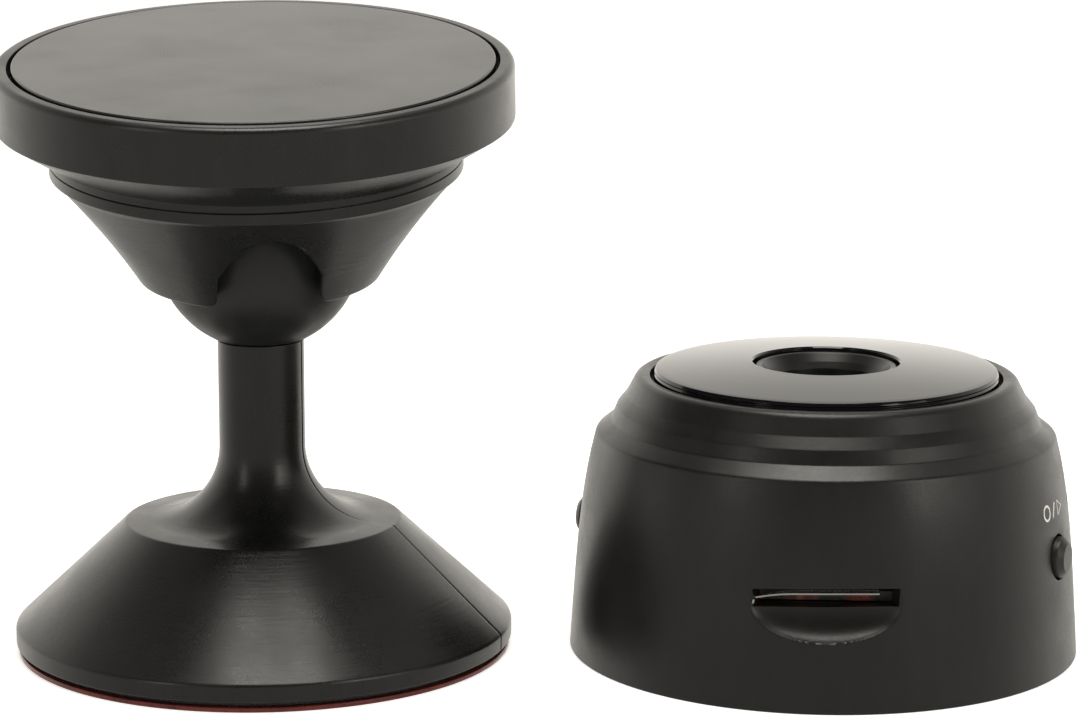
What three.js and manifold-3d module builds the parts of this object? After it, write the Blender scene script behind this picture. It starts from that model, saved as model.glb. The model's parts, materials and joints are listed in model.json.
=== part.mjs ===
// A round miniature camera, lying on its back, beside its magnetic ball-joint stand.
// Millimetres, +Z up. The origin is the centre of the stand's underside; the camera's
// lens axis stands CAMERA_X to the right of the stand's post.
import * as THREE from 'three';
import { mergeVertices } from 'three/addons/utils/BufferGeometryUtils.js';
import Module from 'manifold-3d';

const wasm = await Module();
wasm.setup();

// ---- Driving dimensions ----------------------------------------------------------------

const SEGMENTS = 40;                // sides of the large round pieces
const FINE = 16;                    // sides of the small round pieces
const COARSE = 12;                  // sides of bosses and screw holes
const GAP = 0.05;                   // between pieces that touch
const LOOSE = 0.3;                  // between pieces of the tilted head

const CAMERA_X = 48;                // lens axis from the stand's post

// Stand
const FOOT_R = 21.23;               // widest part of the foot
const FOOT_BOTTOM = 0.8;            // underside of the moulding, on its adhesive pad
const FOOT_BAND_TOP = 2.25;         // top of the short upright band
const CONE_TOP_R = 11.74;
const CONE_TOP_Z = 11.1;
const FLARE_R = 6.3;                // fillet between the foot and the post
const FLARE_Z = 11.3;
const POST_R = 3.65;
const FOOT_WALL = 2.3;
const PAD_R = 20.5;
const LINER_R = 20.8;
const LINER_THICKNESS = 0.15;

// Ball and head
const BALL_R = 8.69;
const BALL_Z = 34.6;                // height of the ball's centre
const BALL_CUT = 7.9;               // the ball's flat underside, below its centre
const SPIGOT_R = 2.4;               // post's end inside the ball
const SPIGOT_LENGTH = 4.9;
const SOCKET_R = 9.0;
const HEAD_TILT = 7.9;              // degrees towards the front
const HEAD_R = 21.66;               // widest part of the head
const HEAD_TOP_R = 21.6;
const HEAD_TOP_Z = 16.2;            // rim's top, above the ball's centre
const HEAD_WALL_Z = 11.5;           // foot of the upright wall
const RECESS_R = 20.4;
const COVER_R = 20.05;
const COVER_TOP = 16.3;
const COVER_BOTTOM = 14.9;
const MAGNET_R = 15.8;
const MAGNET_BOTTOM = 10.9;
const MAGNET_THICKNESS = 3.0;
const LIP_Z = -2.31;                // lower edge of the socket
const LIP_R = 10.17;
const COLLAR_R = 17.3;              // short upright ring between the funnel and the rim
const COLLAR_BOTTOM = 7.1;
const COLLAR_TOP = 8.7;
const NOTCH_TURN = 8.7;             // degrees, from the front towards the right
const NOTCH_HALF = 4.25;
const NOTCH_FOOT_Z = 0.8;           // where the notch's arch begins
const NOTCH_ARCH = [[3.2, 3.0], [2.4, 3.95], [1.2, 4.8], [0, 5.05]];
const SEAT_R = 4.7;                 // friction pad above the ball

// Camera housing
const HOUSING_R = 21.74;
const WALL_TAPER = 0.066;           // the wall leans in by this much per millimetre
const WALL_CURVE = 7.9e-6;          // and bends in with the fourth power of the height
const WALL_TOP_Z = 18.75;
const TIER2_R = 18.2;
const TIER2_Z = 19.75;
const TIER3_R = 16.95;
const TIER3_Z = 21.87;
const RIM_R = 16.0;
const RIM_Z = 23.62;
const PANEL_SEAT_R = 14.95;
const PANEL_SEAT_Z = 22.45;
const PANEL_R = 14.62;
const PANEL_TOP = 24.9;             // top of the panel's shallow dome, at the lens axis
const PANEL_DOME_R = 134;
const PANEL_HOLE_R = 6.2;
const INNER_R = 19.8;               // inside of the wall, just above the back cover
const INNER_TOP_R = 17.95;
const INNER_TOP_Z = 17.2;
const COVER_SEAT_R = 20.3;
const COVER_SEAT_Z = 1.7;

// Camera inside
const BOARD_R = 17.0;
const BOARD_BOTTOM = 7.0;
const BOARD_TOP = 7.8;
const IR_BOARD_R = 14.2;
const IR_BOARD_Z = 19.5;
const IR_BOARD_THICKNESS = 0.8;
const LENS_R = 6.0;
const LENS_TOP = 24.4;
const LENS_SEAT_Z = 20.85;
const LENS_BOTTOM = 10.7;
const SCREW_RADIUS_FROM_AXIS = 15.9;
const SCREW_TURNS = [42, 138, -138, -42];
const SCREW_SHANK_R = 0.75;
const SCREW_HEAD_R = 1.45;
const COUNTERBORE_R = 1.65;
const BOSS_R = 1.9;                 // pillars and bosses that the screws pass through

// Controls and openings, by their turn about the lens axis from the front to the right
const SLOT_TURN = -3.8;
const SLOT_WIDTH = 12.0;
const SLOT_BOTTOM = 8.7;
const SLOT_TOP = 10.25;
const SCOOP_BOTTOM = 5.85;
const SCOOP_DEPTH = 1.2;
const MODE_TURN = 64;
const POWER_TURN = -107;
const USB_TURN = 180;
const RESET_TURN = 155;
const MIC_TURN = 81;
const MIC_Z = 13.5;
const PINHOLE_R = 0.6;              // microphone and reset openings
const BUTTON_Z = 9.87;
const BUTTON_R = 1.95;
const BUTTON_HOLE_R = 2.15;
const BUTTON_FACE = 21.75;          // the button's outer face from the lens axis
const FLANGE_R = 2.5;               // keeps the button inside the wall
const FLANGE_FROM = 17.6;
const FLANGE_TO = 18.15;
const SWITCH_FACE = 16.85;          // the switch's plunger from the lens axis

// ---- Finishes ---------------------------------------------------------------------------

const finishes = {
  black_shell: { color: 0x1f2021, roughness: 0.42, metalness: 0 },
  black_ball: { color: 0x1b1b1b, roughness: 0.5, metalness: 0 },
  cover_satin: { color: 0x242424, roughness: 0.25, metalness: 0 },
  panel_gloss: { color: 0x070708, roughness: 0.06, metalness: 0 },
  pad_foam: { color: 0x202022, roughness: 0.95, metalness: 0 },
  liner_red: { color: 0x8c1a12, roughness: 0.4, metalness: 0 },
  magnet: { color: 0x4b4c50, roughness: 0.45, metalness: 0.8 },
  steel: { color: 0xb9bbbd, roughness: 0.3, metalness: 1 },
  glass: { color: 0x10131c, roughness: 0.03, metalness: 0 },
  board: { color: 0x5c1512, roughness: 0.5, metalness: 0 },
  chip: { color: 0x141416, roughness: 0.6, metalness: 0 },
  cell: { color: 0xb4b7ba, roughness: 0.35, metalness: 0.9 },
  insulator: { color: 0x26251f, roughness: 0.7, metalness: 0 },
  led: { color: 0xd8d6c4, roughness: 0.3, metalness: 0 },
  copper: { color: 0xb4713d, roughness: 0.35, metalness: 1 },
  wire_red: { color: 0xa01818, roughness: 0.5, metalness: 0 },
  wire_black: { color: 0x151515, roughness: 0.5, metalness: 0 },
};
const materials = Object.fromEntries(
  Object.entries(finishes).map(([name, finish]) => [name, new THREE.MeshStandardMaterial(finish)]),
);

// ---- Solids ------------------------------------------------------------------------------

const radians = (degrees) => THREE.MathUtils.degToRad(degrees);

// A closed geometry with shared corners and its faces turned outwards.
function closed(geometry) {
  const bare = geometry.clone();
  bare.deleteAttribute('normal');
  bare.deleteAttribute('uv');
  const merged = mergeVertices(bare, 1e-4);
  const at = merged.attributes.position;
  const old = merged.index.array;
  const kept = [];
  for (let i = 0; i < old.length; i += 3) {
    const [a, b, c] = [old[i], old[i + 1], old[i + 2]];
    if (a !== b && b !== c && c !== a) kept.push(a, b, c);
  }
  let volume = 0;
  const [p, q, r] = [new THREE.Vector3(), new THREE.Vector3(), new THREE.Vector3()];
  for (let i = 0; i < kept.length; i += 3) {
    p.fromBufferAttribute(at, kept[i]);
    q.fromBufferAttribute(at, kept[i + 1]);
    r.fromBufferAttribute(at, kept[i + 2]);
    volume += p.dot(q.cross(r));
  }
  if (volume < 0) kept.reverse();
  merged.setIndex(kept);
  return merged;
}

function solid(geometry) {
  const shape = closed(geometry);
  const vertProperties = Float32Array.from(shape.attributes.position.array);
  const triVerts = Uint32Array.from(shape.index.array);
  return new wasm.Manifold(new wasm.Mesh({ numProp: 3, vertProperties, triVerts }));
}

function geometryOf(manifold) {
  const mesh = manifold.getMesh();
  const geometry = new THREE.BufferGeometry();
  geometry.setAttribute('position', new THREE.BufferAttribute(mesh.vertProperties, 3));
  geometry.setIndex(new THREE.BufferAttribute(mesh.triVerts, 1));
  return geometry;
}

function cut(geometry, ...tools) {
  return geometryOf(tools.reduce((body, tool) => body.subtract(solid(tool)), solid(geometry)));
}

function join(geometry, ...others) {
  return geometryOf(others.reduce((body, other) => body.add(solid(other)), solid(geometry)));
}

// A profile of [radius, height] points turned about +Z. It starts and ends on the axis,
// or it is a ring's section and closes on itself.
function turned(profile, segments = SEGMENTS) {
  const points = profile.map(([radius, height]) => new THREE.Vector2(radius, height));
  if (profile[0][0] > 0) points.push(points[0].clone());
  return new THREE.LatheGeometry(points, segments).rotateX(Math.PI / 2);
}

function disc(radius, bottom, top, segments = SEGMENTS) {
  return turned([[0, bottom], [radius, bottom], [radius, top], [0, top]], segments);
}

function ring(inner, outer, bottom, top, segments = SEGMENTS) {
  return turned([[inner, bottom], [outer, bottom], [outer, top], [inner, top]], segments);
}

function block(width, depth, bottom, top, x = 0, y = 0) {
  const height = top - bottom;
  return new THREE.BoxGeometry(width, depth, height).translate(x, y, bottom + height / 2);
}

// Points of an arc in a turned profile, from one angle to another in degrees.
function arc(centreR, centreZ, radius, from, to, steps) {
  const points = [];
  for (let i = 0; i <= steps; i += 1) {
    const angle = radians(from + ((to - from) * i) / steps);
    points.push([centreR + radius * Math.cos(angle), centreZ + radius * Math.sin(angle)]);
  }
  return points;
}

// Lays a shape built along +Z on its side, so that +Z points outwards at the given turn
// about the lens axis, with its own origin at the given height on that axis.
function outwards(geometry, turn, height = 0) {
  return geometry
    .rotateX(Math.PI / 2)
    .rotateZ(radians(turn))
    .translate(0, 0, height);
}

// The same turn for a shape built facing the front.
function atTurn(geometry, turn) {
  return geometry.rotateZ(radians(turn));
}

function named(name, finish, geometry) {
  const mesh = new THREE.Mesh(closed(geometry), materials[finish]);
  mesh.geometry.computeVertexNormals();
  mesh.name = name;
  return mesh;
}

// ---- Stand -------------------------------------------------------------------------------

function standBase() {
  const flareTop = FLARE_Z + FLARE_R;
  const postTop = BALL_Z - BALL_CUT - GAP;
  const spigotTop = postTop + SPIGOT_LENGTH;
  const ceiling = CONE_TOP_Z - FOOT_WALL - 0.1;
  return turned([
    [0, ceiling],
    [CONE_TOP_R - 2.1, ceiling],
    [FOOT_R - 2.9, FOOT_BAND_TOP - 0.3],
    [FOOT_R - 2.9, FOOT_BOTTOM],
    [FOOT_R - 0.2, FOOT_BOTTOM],
    [FOOT_R, FOOT_BOTTOM + 0.2],
    [FOOT_R, FOOT_BAND_TOP],
    [CONE_TOP_R, CONE_TOP_Z - 0.12],
    [CONE_TOP_R - 0.25, CONE_TOP_Z],
    ...arc(POST_R + FLARE_R, flareTop, FLARE_R, 270, 180, 8),
    [POST_R, postTop],
    [SPIGOT_R, postTop],
    [SPIGOT_R, spigotTop - 0.3],
    [SPIGOT_R - 0.3, spigotTop],
    [0, spigotTop],
  ]);
}

function ball() {
  const holeTop = SPIGOT_LENGTH - BALL_CUT + GAP;
  const edge = THREE.MathUtils.radToDeg(Math.asin(-BALL_CUT / BALL_R));
  return turned([
    [0, holeTop],
    [SPIGOT_R + GAP, holeTop],
    [SPIGOT_R + GAP, -BALL_CUT],
    ...arc(0, 0, BALL_R, edge, 86, 12),
    [0, BALL_R],
  ]);
}

// The slot that lets the post swing up into the head's front.
function notch() {
  const bottom = LIP_Z - 1;
  const shape = new THREE.Shape();
  shape.moveTo(-NOTCH_HALF - 1.6, bottom);
  shape.lineTo(-NOTCH_HALF - 0.7, LIP_Z + 0.1);
  shape.lineTo(-NOTCH_HALF - 0.15, LIP_Z + 0.9);
  shape.lineTo(-NOTCH_HALF, LIP_Z + 1.7);
  shape.lineTo(-NOTCH_HALF, NOTCH_FOOT_Z);
  shape.splineThru([
    ...NOTCH_ARCH.map(([across, height]) => new THREE.Vector2(-across, height)),
    ...NOTCH_ARCH.slice(0, -1).reverse().map((point) => new THREE.Vector2(...point)),
    new THREE.Vector2(NOTCH_HALF, NOTCH_FOOT_Z),
  ]);
  shape.lineTo(NOTCH_HALF, LIP_Z + 1.7);
  shape.lineTo(NOTCH_HALF + 0.15, LIP_Z + 0.9);
  shape.lineTo(NOTCH_HALF + 0.7, LIP_Z + 0.1);
  shape.lineTo(NOTCH_HALF + 1.6, bottom);
  const depth = { depth: HEAD_R, bevelEnabled: false, curveSegments: 2 };
  return atTurn(new THREE.ExtrudeGeometry(shape, depth).rotateX(Math.PI / 2), NOTCH_TURN);
}

function headShell() {
  const seatHole = SEAT_R + LOOSE;
  const seatHoleZ = Math.sqrt(SOCKET_R ** 2 - seatHole ** 2);
  const socketFrom = THREE.MathUtils.radToDeg(Math.asin(seatHoleZ / SOCKET_R));
  const socketTo = THREE.MathUtils.radToDeg(Math.asin(LIP_Z / SOCKET_R));
  const floor = MAGNET_BOTTOM - 1.2;
  const profile = [
    ...arc(0, 0, SOCKET_R, socketFrom, socketTo, 9),
    [LIP_R, LIP_Z],
    [11.97, 0.5],
    [13.76, 3],
    [15.33, 5],
    [COLLAR_R - 0.3, COLLAR_BOTTOM - 0.1],
    [COLLAR_R, COLLAR_BOTTOM],
    [COLLAR_R, COLLAR_TOP],
    [HEAD_R - 0.1, HEAD_WALL_Z - 0.1],
    [HEAD_R, HEAD_WALL_Z + 0.3],
    [HEAD_TOP_R, HEAD_TOP_Z - 0.9],
    [HEAD_TOP_R - 0.15, HEAD_TOP_Z - 0.5],
    [HEAD_TOP_R - 0.5, HEAD_TOP_Z - 0.15],
    [HEAD_TOP_R - 0.9, HEAD_TOP_Z],
    [RECESS_R, HEAD_TOP_Z - 0.05],
    [RECESS_R, COVER_BOTTOM - LOOSE],
    [RECESS_R - 2.0, COVER_BOTTOM - LOOSE],
    [RECESS_R - 2.0, 12.7],
    [MAGNET_R + 0.4, floor + 0.7],
    [MAGNET_R + 0.4, floor],
    [seatHole, floor],
  ];
  return cut(turned(profile), notch());
}

function seatPad() {
  const from = THREE.MathUtils.radToDeg(Math.acos(SEAT_R / SOCKET_R));
  return turned([
    ...arc(0, 0, SOCKET_R, 90, from, 5),
    [SEAT_R, MAGNET_BOTTOM - 1.1],
    [0, MAGNET_BOTTOM - 1.1],
  ], FINE);
}

function stand() {
  const group = new THREE.Group();
  const padBottom = LINER_THICKNESS + GAP;
  group.add(
    named('stand_base', 'black_shell', standBase()),
    named('adhesive_pad', 'pad_foam', disc(PAD_R, padBottom, FOOT_BOTTOM - GAP)),
    named('pad_liner', 'liner_red', disc(LINER_R, 0, LINER_THICKNESS)),
    named('ball', 'black_ball', ball().translate(0, 0, BALL_Z)),
  );

  const head = new THREE.Group();
  head.position.z = BALL_Z;
  head.rotation.x = radians(HEAD_TILT);
  const magnetTop = MAGNET_BOTTOM + MAGNET_THICKNESS;
  head.add(
    named('head_shell', 'black_shell', headShell()),
    named('ball_seat_pad', 'pad_foam', seatPad()),
    named('keeper_plate', 'steel', disc(MAGNET_R, MAGNET_BOTTOM - 0.8, MAGNET_BOTTOM - LOOSE)),
    named('head_magnet', 'magnet', disc(MAGNET_R, MAGNET_BOTTOM, magnetTop)),
    named('head_cover_disc', 'cover_satin', turned([
      [0, COVER_BOTTOM],
      [COVER_R, COVER_BOTTOM],
      [COVER_R, COVER_TOP - 0.15],
      [COVER_R - 0.15, COVER_TOP],
      [0, COVER_TOP],
    ])),
  );
  group.add(head);
  return group;
}

// ---- Camera housing ------------------------------------------------------------------------

// The outside radius of the housing's tapered wall at a height.
function wallRadius(height) {
  return HOUSING_R - WALL_TAPER * height - WALL_CURVE * height ** 4;
}

function cardSlot() {
  const slot = block(SLOT_WIDTH, 6, SLOT_BOTTOM, SLOT_TOP, 0, -wallRadius(SLOT_BOTTOM));
  return atTurn(slot, SLOT_TURN);
}

// The thumbnail scoop below the card slot: half of a flat ellipsoid sunk into the wall.
function scoop() {
  const dish = new THREE.SphereGeometry(1, 24, 12);
  dish.scale(SLOT_WIDTH / 2 + 0.1, SCOOP_DEPTH, SLOT_BOTTOM - SCOOP_BOTTOM + 0.1);
  dish.translate(0, -wallRadius(SLOT_BOTTOM), SLOT_BOTTOM);
  const above = block(SLOT_WIDTH + 2, 10, SLOT_BOTTOM, SLOT_TOP + 3, 0, -wallRadius(SLOT_BOTTOM));
  return atTurn(cut(dish, above), SLOT_TURN);
}

function usbHole() {
  const [half, low, high, corner] = [4.1, BOARD_TOP - 0.25, BOARD_TOP + 2.85, 0.8];
  const shape = new THREE.Shape();
  shape.moveTo(-half + corner, low);
  shape.lineTo(half - corner, low);
  shape.absarc(half - corner, low + corner, corner, -Math.PI / 2, 0, false);
  shape.absarc(half - corner, high - corner, corner, 0, Math.PI / 2, false);
  shape.absarc(-half + corner, high - corner, corner, Math.PI / 2, Math.PI, false);
  shape.absarc(-half + corner, low + corner, corner, Math.PI, 1.5 * Math.PI, false);
  const through = { depth: 6, bevelEnabled: false, curveSegments: 3 };
  const tool = new THREE.ExtrudeGeometry(shape, through).rotateX(Math.PI / 2);
  return atTurn(tool.translate(0, -HOUSING_R + 5, 0), USB_TURN);
}

function wallHole(radius, turn, height) {
  return outwards(disc(radius, INNER_TOP_R - 1, HOUSING_R + 1, FINE), turn, height);
}

// Places a shape at one of the case screws.
function atScrew(geometry, turn) {
  return atTurn(geometry.translate(0, -SCREW_RADIUS_FROM_AXIS, 0), turn);
}

function housingShell() {
  const shell = turned([
    [COVER_SEAT_R, 0],
    [HOUSING_R - 0.2, 0],
    ...[0.2, 5, 9, 12.5, 15.5, WALL_TOP_Z - 0.15].map((height) => [wallRadius(height), height]),
    [wallRadius(WALL_TOP_Z) - 0.15, WALL_TOP_Z + 0.1],
    [TIER2_R + 0.05, TIER2_Z - 0.05],
    [TIER2_R - 0.02, TIER2_Z + 0.1],
    [TIER2_R - 0.45, TIER3_Z - 1.05],
    [TIER2_R - 0.6, TIER3_Z - 0.8],
    [TIER3_R + 0.05, TIER3_Z - 0.05],
    [TIER3_R - 0.05, TIER3_Z + 0.1],
    [RIM_R + 0.25, RIM_Z - 0.9],
    [RIM_R, RIM_Z - 0.35],
    [RIM_R - 0.35, RIM_Z - 0.03],
    [RIM_R - 0.8, RIM_Z],
    [PANEL_SEAT_R, RIM_Z - 0.1],
    [PANEL_SEAT_R, PANEL_SEAT_Z],
    [IR_BOARD_R - 0.8, PANEL_SEAT_Z],
    [IR_BOARD_R - 0.8, IR_BOARD_Z + IR_BOARD_THICKNESS + GAP],
    [IR_BOARD_R + 0.4, IR_BOARD_Z + IR_BOARD_THICKNESS + GAP],
    [IR_BOARD_R + 0.4, IR_BOARD_Z - 0.1],
    [IR_BOARD_R + 2.0, IR_BOARD_Z - 0.1],
    [IR_BOARD_R + 2.0, INNER_TOP_Z],
    [INNER_TOP_R, INNER_TOP_Z],
    [INNER_R, COVER_SEAT_Z],
    [COVER_SEAT_R, COVER_SEAT_Z],
  ]);
  const bosses = SCREW_TURNS.map((turn) => (
    atScrew(disc(BOSS_R, BOARD_TOP + GAP, IR_BOARD_Z - 0.2, COARSE), turn)
  ));
  const pilots = SCREW_TURNS.map((turn) => (
    atScrew(disc(SCREW_SHANK_R + 0.1, BOARD_TOP - 1, BOARD_TOP + 5, COARSE), turn)
  ));
  return cut(
    join(shell, ...bosses),
    ...pilots,
    cardSlot(),
    scoop(),
    usbHole(),
    wallHole(BUTTON_HOLE_R, MODE_TURN, BUTTON_Z),
    wallHole(BUTTON_HOLE_R, POWER_TURN, BUTTON_Z),
    wallHole(PINHOLE_R, MIC_TURN, MIC_Z),
    wallHole(PINHOLE_R, RESET_TURN, BUTTON_Z),
  );
}

function backCover() {
  const plate = turned([
    [0, 0],
    [COVER_SEAT_R - 0.3, 0],
    [COVER_SEAT_R - 0.1, 0.2],
    [COVER_SEAT_R - 0.1, COVER_SEAT_Z - GAP],
    [0, COVER_SEAT_Z - GAP],
  ]);
  const pillars = SCREW_TURNS.map((turn) => (
    atScrew(disc(BOSS_R, 1, BOARD_BOTTOM - GAP, COARSE), turn)
  ));
  const holes = SCREW_TURNS.flatMap((turn) => [
    atScrew(disc(SCREW_SHANK_R + 0.15, -1, BOARD_BOTTOM + 1, COARSE), turn),
    atScrew(disc(COUNTERBORE_R, -1, 1.25, FINE), turn),
  ]);
  return cut(join(plate, ...pillars), ...holes);
}

function caseScrew(turn) {
  const head = disc(SCREW_HEAD_R, 0.3, 1.2, FINE);
  const shank = disc(SCREW_SHANK_R, 1.1, 12.6, COARSE);
  const cross = [block(1.6, 0.4, 0, 0.8), block(0.4, 1.6, 0, 0.8)];
  return atScrew(cut(join(head, shank), ...cross), turn);
}

function frontPanel() {
  const dome = (radius) => PANEL_TOP - radius ** 2 / (2 * PANEL_DOME_R);
  return turned([
    [PANEL_HOLE_R, PANEL_SEAT_Z + GAP],
    [PANEL_R, PANEL_SEAT_Z + GAP],
    [PANEL_R, dome(PANEL_R) - 0.2],
    ...[PANEL_R - 0.2, 12, 9, PANEL_HOLE_R + 0.15].map((radius) => [radius, dome(radius)]),
    [PANEL_HOLE_R, dome(PANEL_HOLE_R) - 0.15],
  ]);
}

// A push button for the wall: cap, retaining flange and the post that meets its switch.
function button(turn) {
  const profile = [
    [0, SWITCH_FACE + 0.45],
    [0.9, SWITCH_FACE + 0.45],
    [0.9, FLANGE_FROM],
    [FLANGE_R, FLANGE_FROM],
    [FLANGE_R, FLANGE_TO],
    [BUTTON_R, FLANGE_TO],
    [BUTTON_R, BUTTON_FACE - 0.4],
    [BUTTON_R - 0.45, BUTTON_FACE],
    [0, BUTTON_FACE],
  ];
  return outwards(turned(profile, FINE), turn, BUTTON_Z);
}

// ---- Camera inside ---------------------------------------------------------------------------

function mainBoard() {
  const holes = SCREW_TURNS.map((turn) => (
    atScrew(disc(SCREW_SHANK_R + 0.25, BOARD_BOTTOM - 1, BOARD_TOP + 1, COARSE), turn)
  ));
  return cut(disc(BOARD_R, BOARD_BOTTOM, BOARD_TOP), ...holes);
}

// A side-acting switch on the board, its plunger pointing outwards.
function tactSwitch(turn, width = 4.2) {
  const bottom = BOARD_TOP + GAP;
  const body = block(width, 2.4, bottom, BUTTON_Z + 0.8, 0, -SWITCH_FACE + 1.7);
  const plunger = disc(0.55, SWITCH_FACE - 1.2, SWITCH_FACE, COARSE);
  return join(atTurn(body, turn), outwards(plunger, turn, BUTTON_Z));
}

function lensHolder() {
  const bottom = BOARD_TOP + GAP;
  const base = block(13.5, 13.5, bottom, 11.2);
  const tube = disc(7.4, 11, 17);
  const cavity = block(11, 11, bottom - 1, 10.4);
  const bore = disc(LENS_R + 0.1, 10, 18);
  return cut(join(base, tube), cavity, bore);
}

function lensBarrel() {
  return turned([
    [3.2, LENS_BOTTOM],
    [LENS_R - 0.4, LENS_BOTTOM],
    [LENS_R, LENS_BOTTOM + 0.4],
    [LENS_R, LENS_TOP - 0.25],
    [LENS_R - 0.25, LENS_TOP],
    [LENS_R - 0.5, LENS_TOP],
    [4.6, LENS_SEAT_Z + 2.4],
    [4.6, LENS_SEAT_Z],
    [3.2, LENS_SEAT_Z],
  ]);
}

// A lens element with one domed face.
function lensElement(radius, bottom, edge, dome) {
  const sphere = (radius ** 2 + dome ** 2) / (2 * dome);
  const centre = edge + dome - sphere;
  const from = THREE.MathUtils.radToDeg(Math.asin((edge - centre) / sphere));
  return turned([[0, bottom], [radius, bottom], ...arc(0, centre, sphere, from, 90, 4)], FINE);
}

function cardSocketBody() {
  const bottom = BOARD_TOP + GAP;
  const base = block(11.9, 9.8, bottom, bottom + 1.55, 0, -12.3);
  const pocket = block(11.1, 9.4, bottom + 0.4, bottom + 2, 0, -12.8);
  return atTurn(cut(base, pocket), SLOT_TURN);
}

function cardSocketShell() {
  const bottom = BOARD_TOP + GAP;
  const outer = block(12.5, 9.8, bottom, bottom + 2, 0, -12.3);
  const inner = block(12.1, 12, bottom - 1, bottom + 1.8, 0, -12.3);
  return atTurn(cut(outer, inner), SLOT_TURN);
}

function usbShell() {
  const bottom = BOARD_TOP + GAP;
  const outer = block(7.5, 5.2, bottom, bottom + 2.5, 0, -15.6);
  const inner = block(6.9, 5.2, bottom + 0.3, bottom + 2.2, 0, -15.9);
  return atTurn(cut(outer, inner), USB_TURN);
}

function usbTongue() {
  const bottom = BOARD_TOP + 1.5;
  return atTurn(block(4.4, 3.6, bottom, bottom + 0.6, 0, -15.2), USB_TURN);
}

// A thin strip bent round the inside of the wall.
function antenna() {
  const [inner, outer, from, to] = [17.45, 17.65, 148, 190];
  const shape = new THREE.Shape();
  shape.absarc(0, 0, outer, radians(from), radians(to), false);
  shape.absarc(0, 0, inner, radians(to), radians(from), true);
  const strip = { depth: 3.6, bevelEnabled: false, curveSegments: 10 };
  return new THREE.ExtrudeGeometry(shape, strip).translate(0, 0, 12.8);
}

// A round wire through the given points.
function wire(points, radius) {
  const path = new THREE.CatmullRomCurve3(points.map((point) => new THREE.Vector3(...point)));
  const section = new THREE.Shape();
  for (let i = 0; i < 8; i += 1) {
    const angle = (i / 8) * 2 * Math.PI;
    section[i ? 'lineTo' : 'moveTo'](radius * Math.cos(angle), radius * Math.sin(angle));
  }
  return new THREE.ExtrudeGeometry(section, { steps: 10, extrudePath: path });
}

function batteryLead(x) {
  return wire([[x, -9.6, 4.6], [x, -11.2, 4.7], [x, -12.1, 5.6], [x, -12.2, 6.9]], 0.35);
}

function irBoard() {
  return ring(LENS_R + 0.6, IR_BOARD_R, IR_BOARD_Z, IR_BOARD_Z + IR_BOARD_THICKNESS);
}

function camera() {
  const group = new THREE.Group();
  group.position.x = CAMERA_X;
  const onBoard = BOARD_TOP + GAP;
  const onIrBoard = IR_BOARD_Z + IR_BOARD_THICKNESS + GAP;
  group.add(
    named('housing_shell', 'black_shell', housingShell()),
    named('back_cover', 'black_shell', backCover()),
    named('front_panel', 'panel_gloss', frontPanel()),
    named('mode_button', 'black_shell', button(MODE_TURN)),
    named('power_button', 'black_shell', button(POWER_TURN)),
    named('lens_barrel', 'black_shell', lensBarrel()),
    named('lens_front_element', 'glass', lensElement(4.5, LENS_SEAT_Z + 0.1, LENS_SEAT_Z + 1.2, 0.9)),
    named('lens_rear_element', 'glass', lensElement(3.1, 11, 11.8, 0.5)),
    named('lens_holder', 'insulator', lensHolder()),
    named('image_sensor', 'chip', block(6.5, 5.5, onBoard, onBoard + 0.9)),
    named('main_board', 'board', mainBoard()),
    named('processor_chip', 'chip', block(6, 6, onBoard, onBoard + 0.9, 10.4, 3.9)),
    named('wifi_chip', 'chip', block(5, 5, onBoard, onBoard + 0.9, -10.4, -3.9)),
    named('charger_chip', 'chip', block(3, 3, onBoard, onBoard + 0.8, 0, 9.9)),
    named('card_socket_body', 'insulator', cardSocketBody()),
    named('card_socket_shell', 'steel', cardSocketShell()),
    named('usb_shell', 'steel', usbShell()),
    named('usb_tongue', 'insulator', usbTongue()),
    named('mode_switch', 'insulator', tactSwitch(MODE_TURN)),
    named('power_switch', 'insulator', tactSwitch(POWER_TURN)),
    named('reset_switch', 'insulator', tactSwitch(RESET_TURN, 2.6)),
    named('microphone', 'steel', outwards(disc(2, 16.2, 17.6, FINE), MIC_TURN, MIC_Z)),
    named('wifi_antenna', 'copper', antenna()),
    named('ir_led_board', 'board', irBoard()),
    named('ir_board_ribbon', 'insulator', block(6, 0.3, onBoard, IR_BOARD_Z - GAP, 0, 12.2)),
    named('light_sensor', 'glass', atTurn(disc(1.3, onIrBoard, 21.7, FINE).translate(0, -10.2, 0), 90)),
    named('status_led', 'led', atTurn(block(1.6, 0.8, onIrBoard, 21, 0, -10.2), 150)),
    named('battery_cell', 'cell', block(24, 19, 3.3, 6.5)),
    named('battery_tape', 'pad_foam', block(18, 14, 6.55, BOARD_BOTTOM - GAP)),
    named('battery_lead_positive', 'wire_red', batteryLead(1.5)),
    named('battery_lead_negative', 'wire_black', batteryLead(-1.5)),
  );
  SCREW_TURNS.forEach((turn, i) => {
    group.add(named(`case_screw_${i + 1}`, 'steel', caseScrew(turn)));
  });
  for (let i = 0; i < 6; i += 1) {
    const led = block(2.8, 3.2, onIrBoard, 21.8, 0, -10.2);
    group.add(named(`ir_led_${i + 1}`, 'led', atTurn(led, 60 * i)));
  }
  [-8, 8].forEach((x, i) => {
    const magnet = disc(5, COVER_SEAT_Z + GAP, 3.2, FINE).translate(x, 0, 0);
    group.add(named(`back_magnet_${i + 1}`, 'magnet', magnet));
  });
  return group;
}

const dashCamera = new THREE.Group();
dashCamera.add(stand(), camera());

export default dashCamera;
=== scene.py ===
"""A round dash camera, lying on its back, beside its magnetic ball-joint stand.

Each operator makes one piece, or one group of like pieces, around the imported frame.
Outlines are in millimetres, and every mesh is in metres.
"""

import json
import math

import bmesh
import bpy
import numpy as np
from bpy.props import FloatProperty, FloatVectorProperty, PointerProperty
from mathutils import Matrix, Vector

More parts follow.
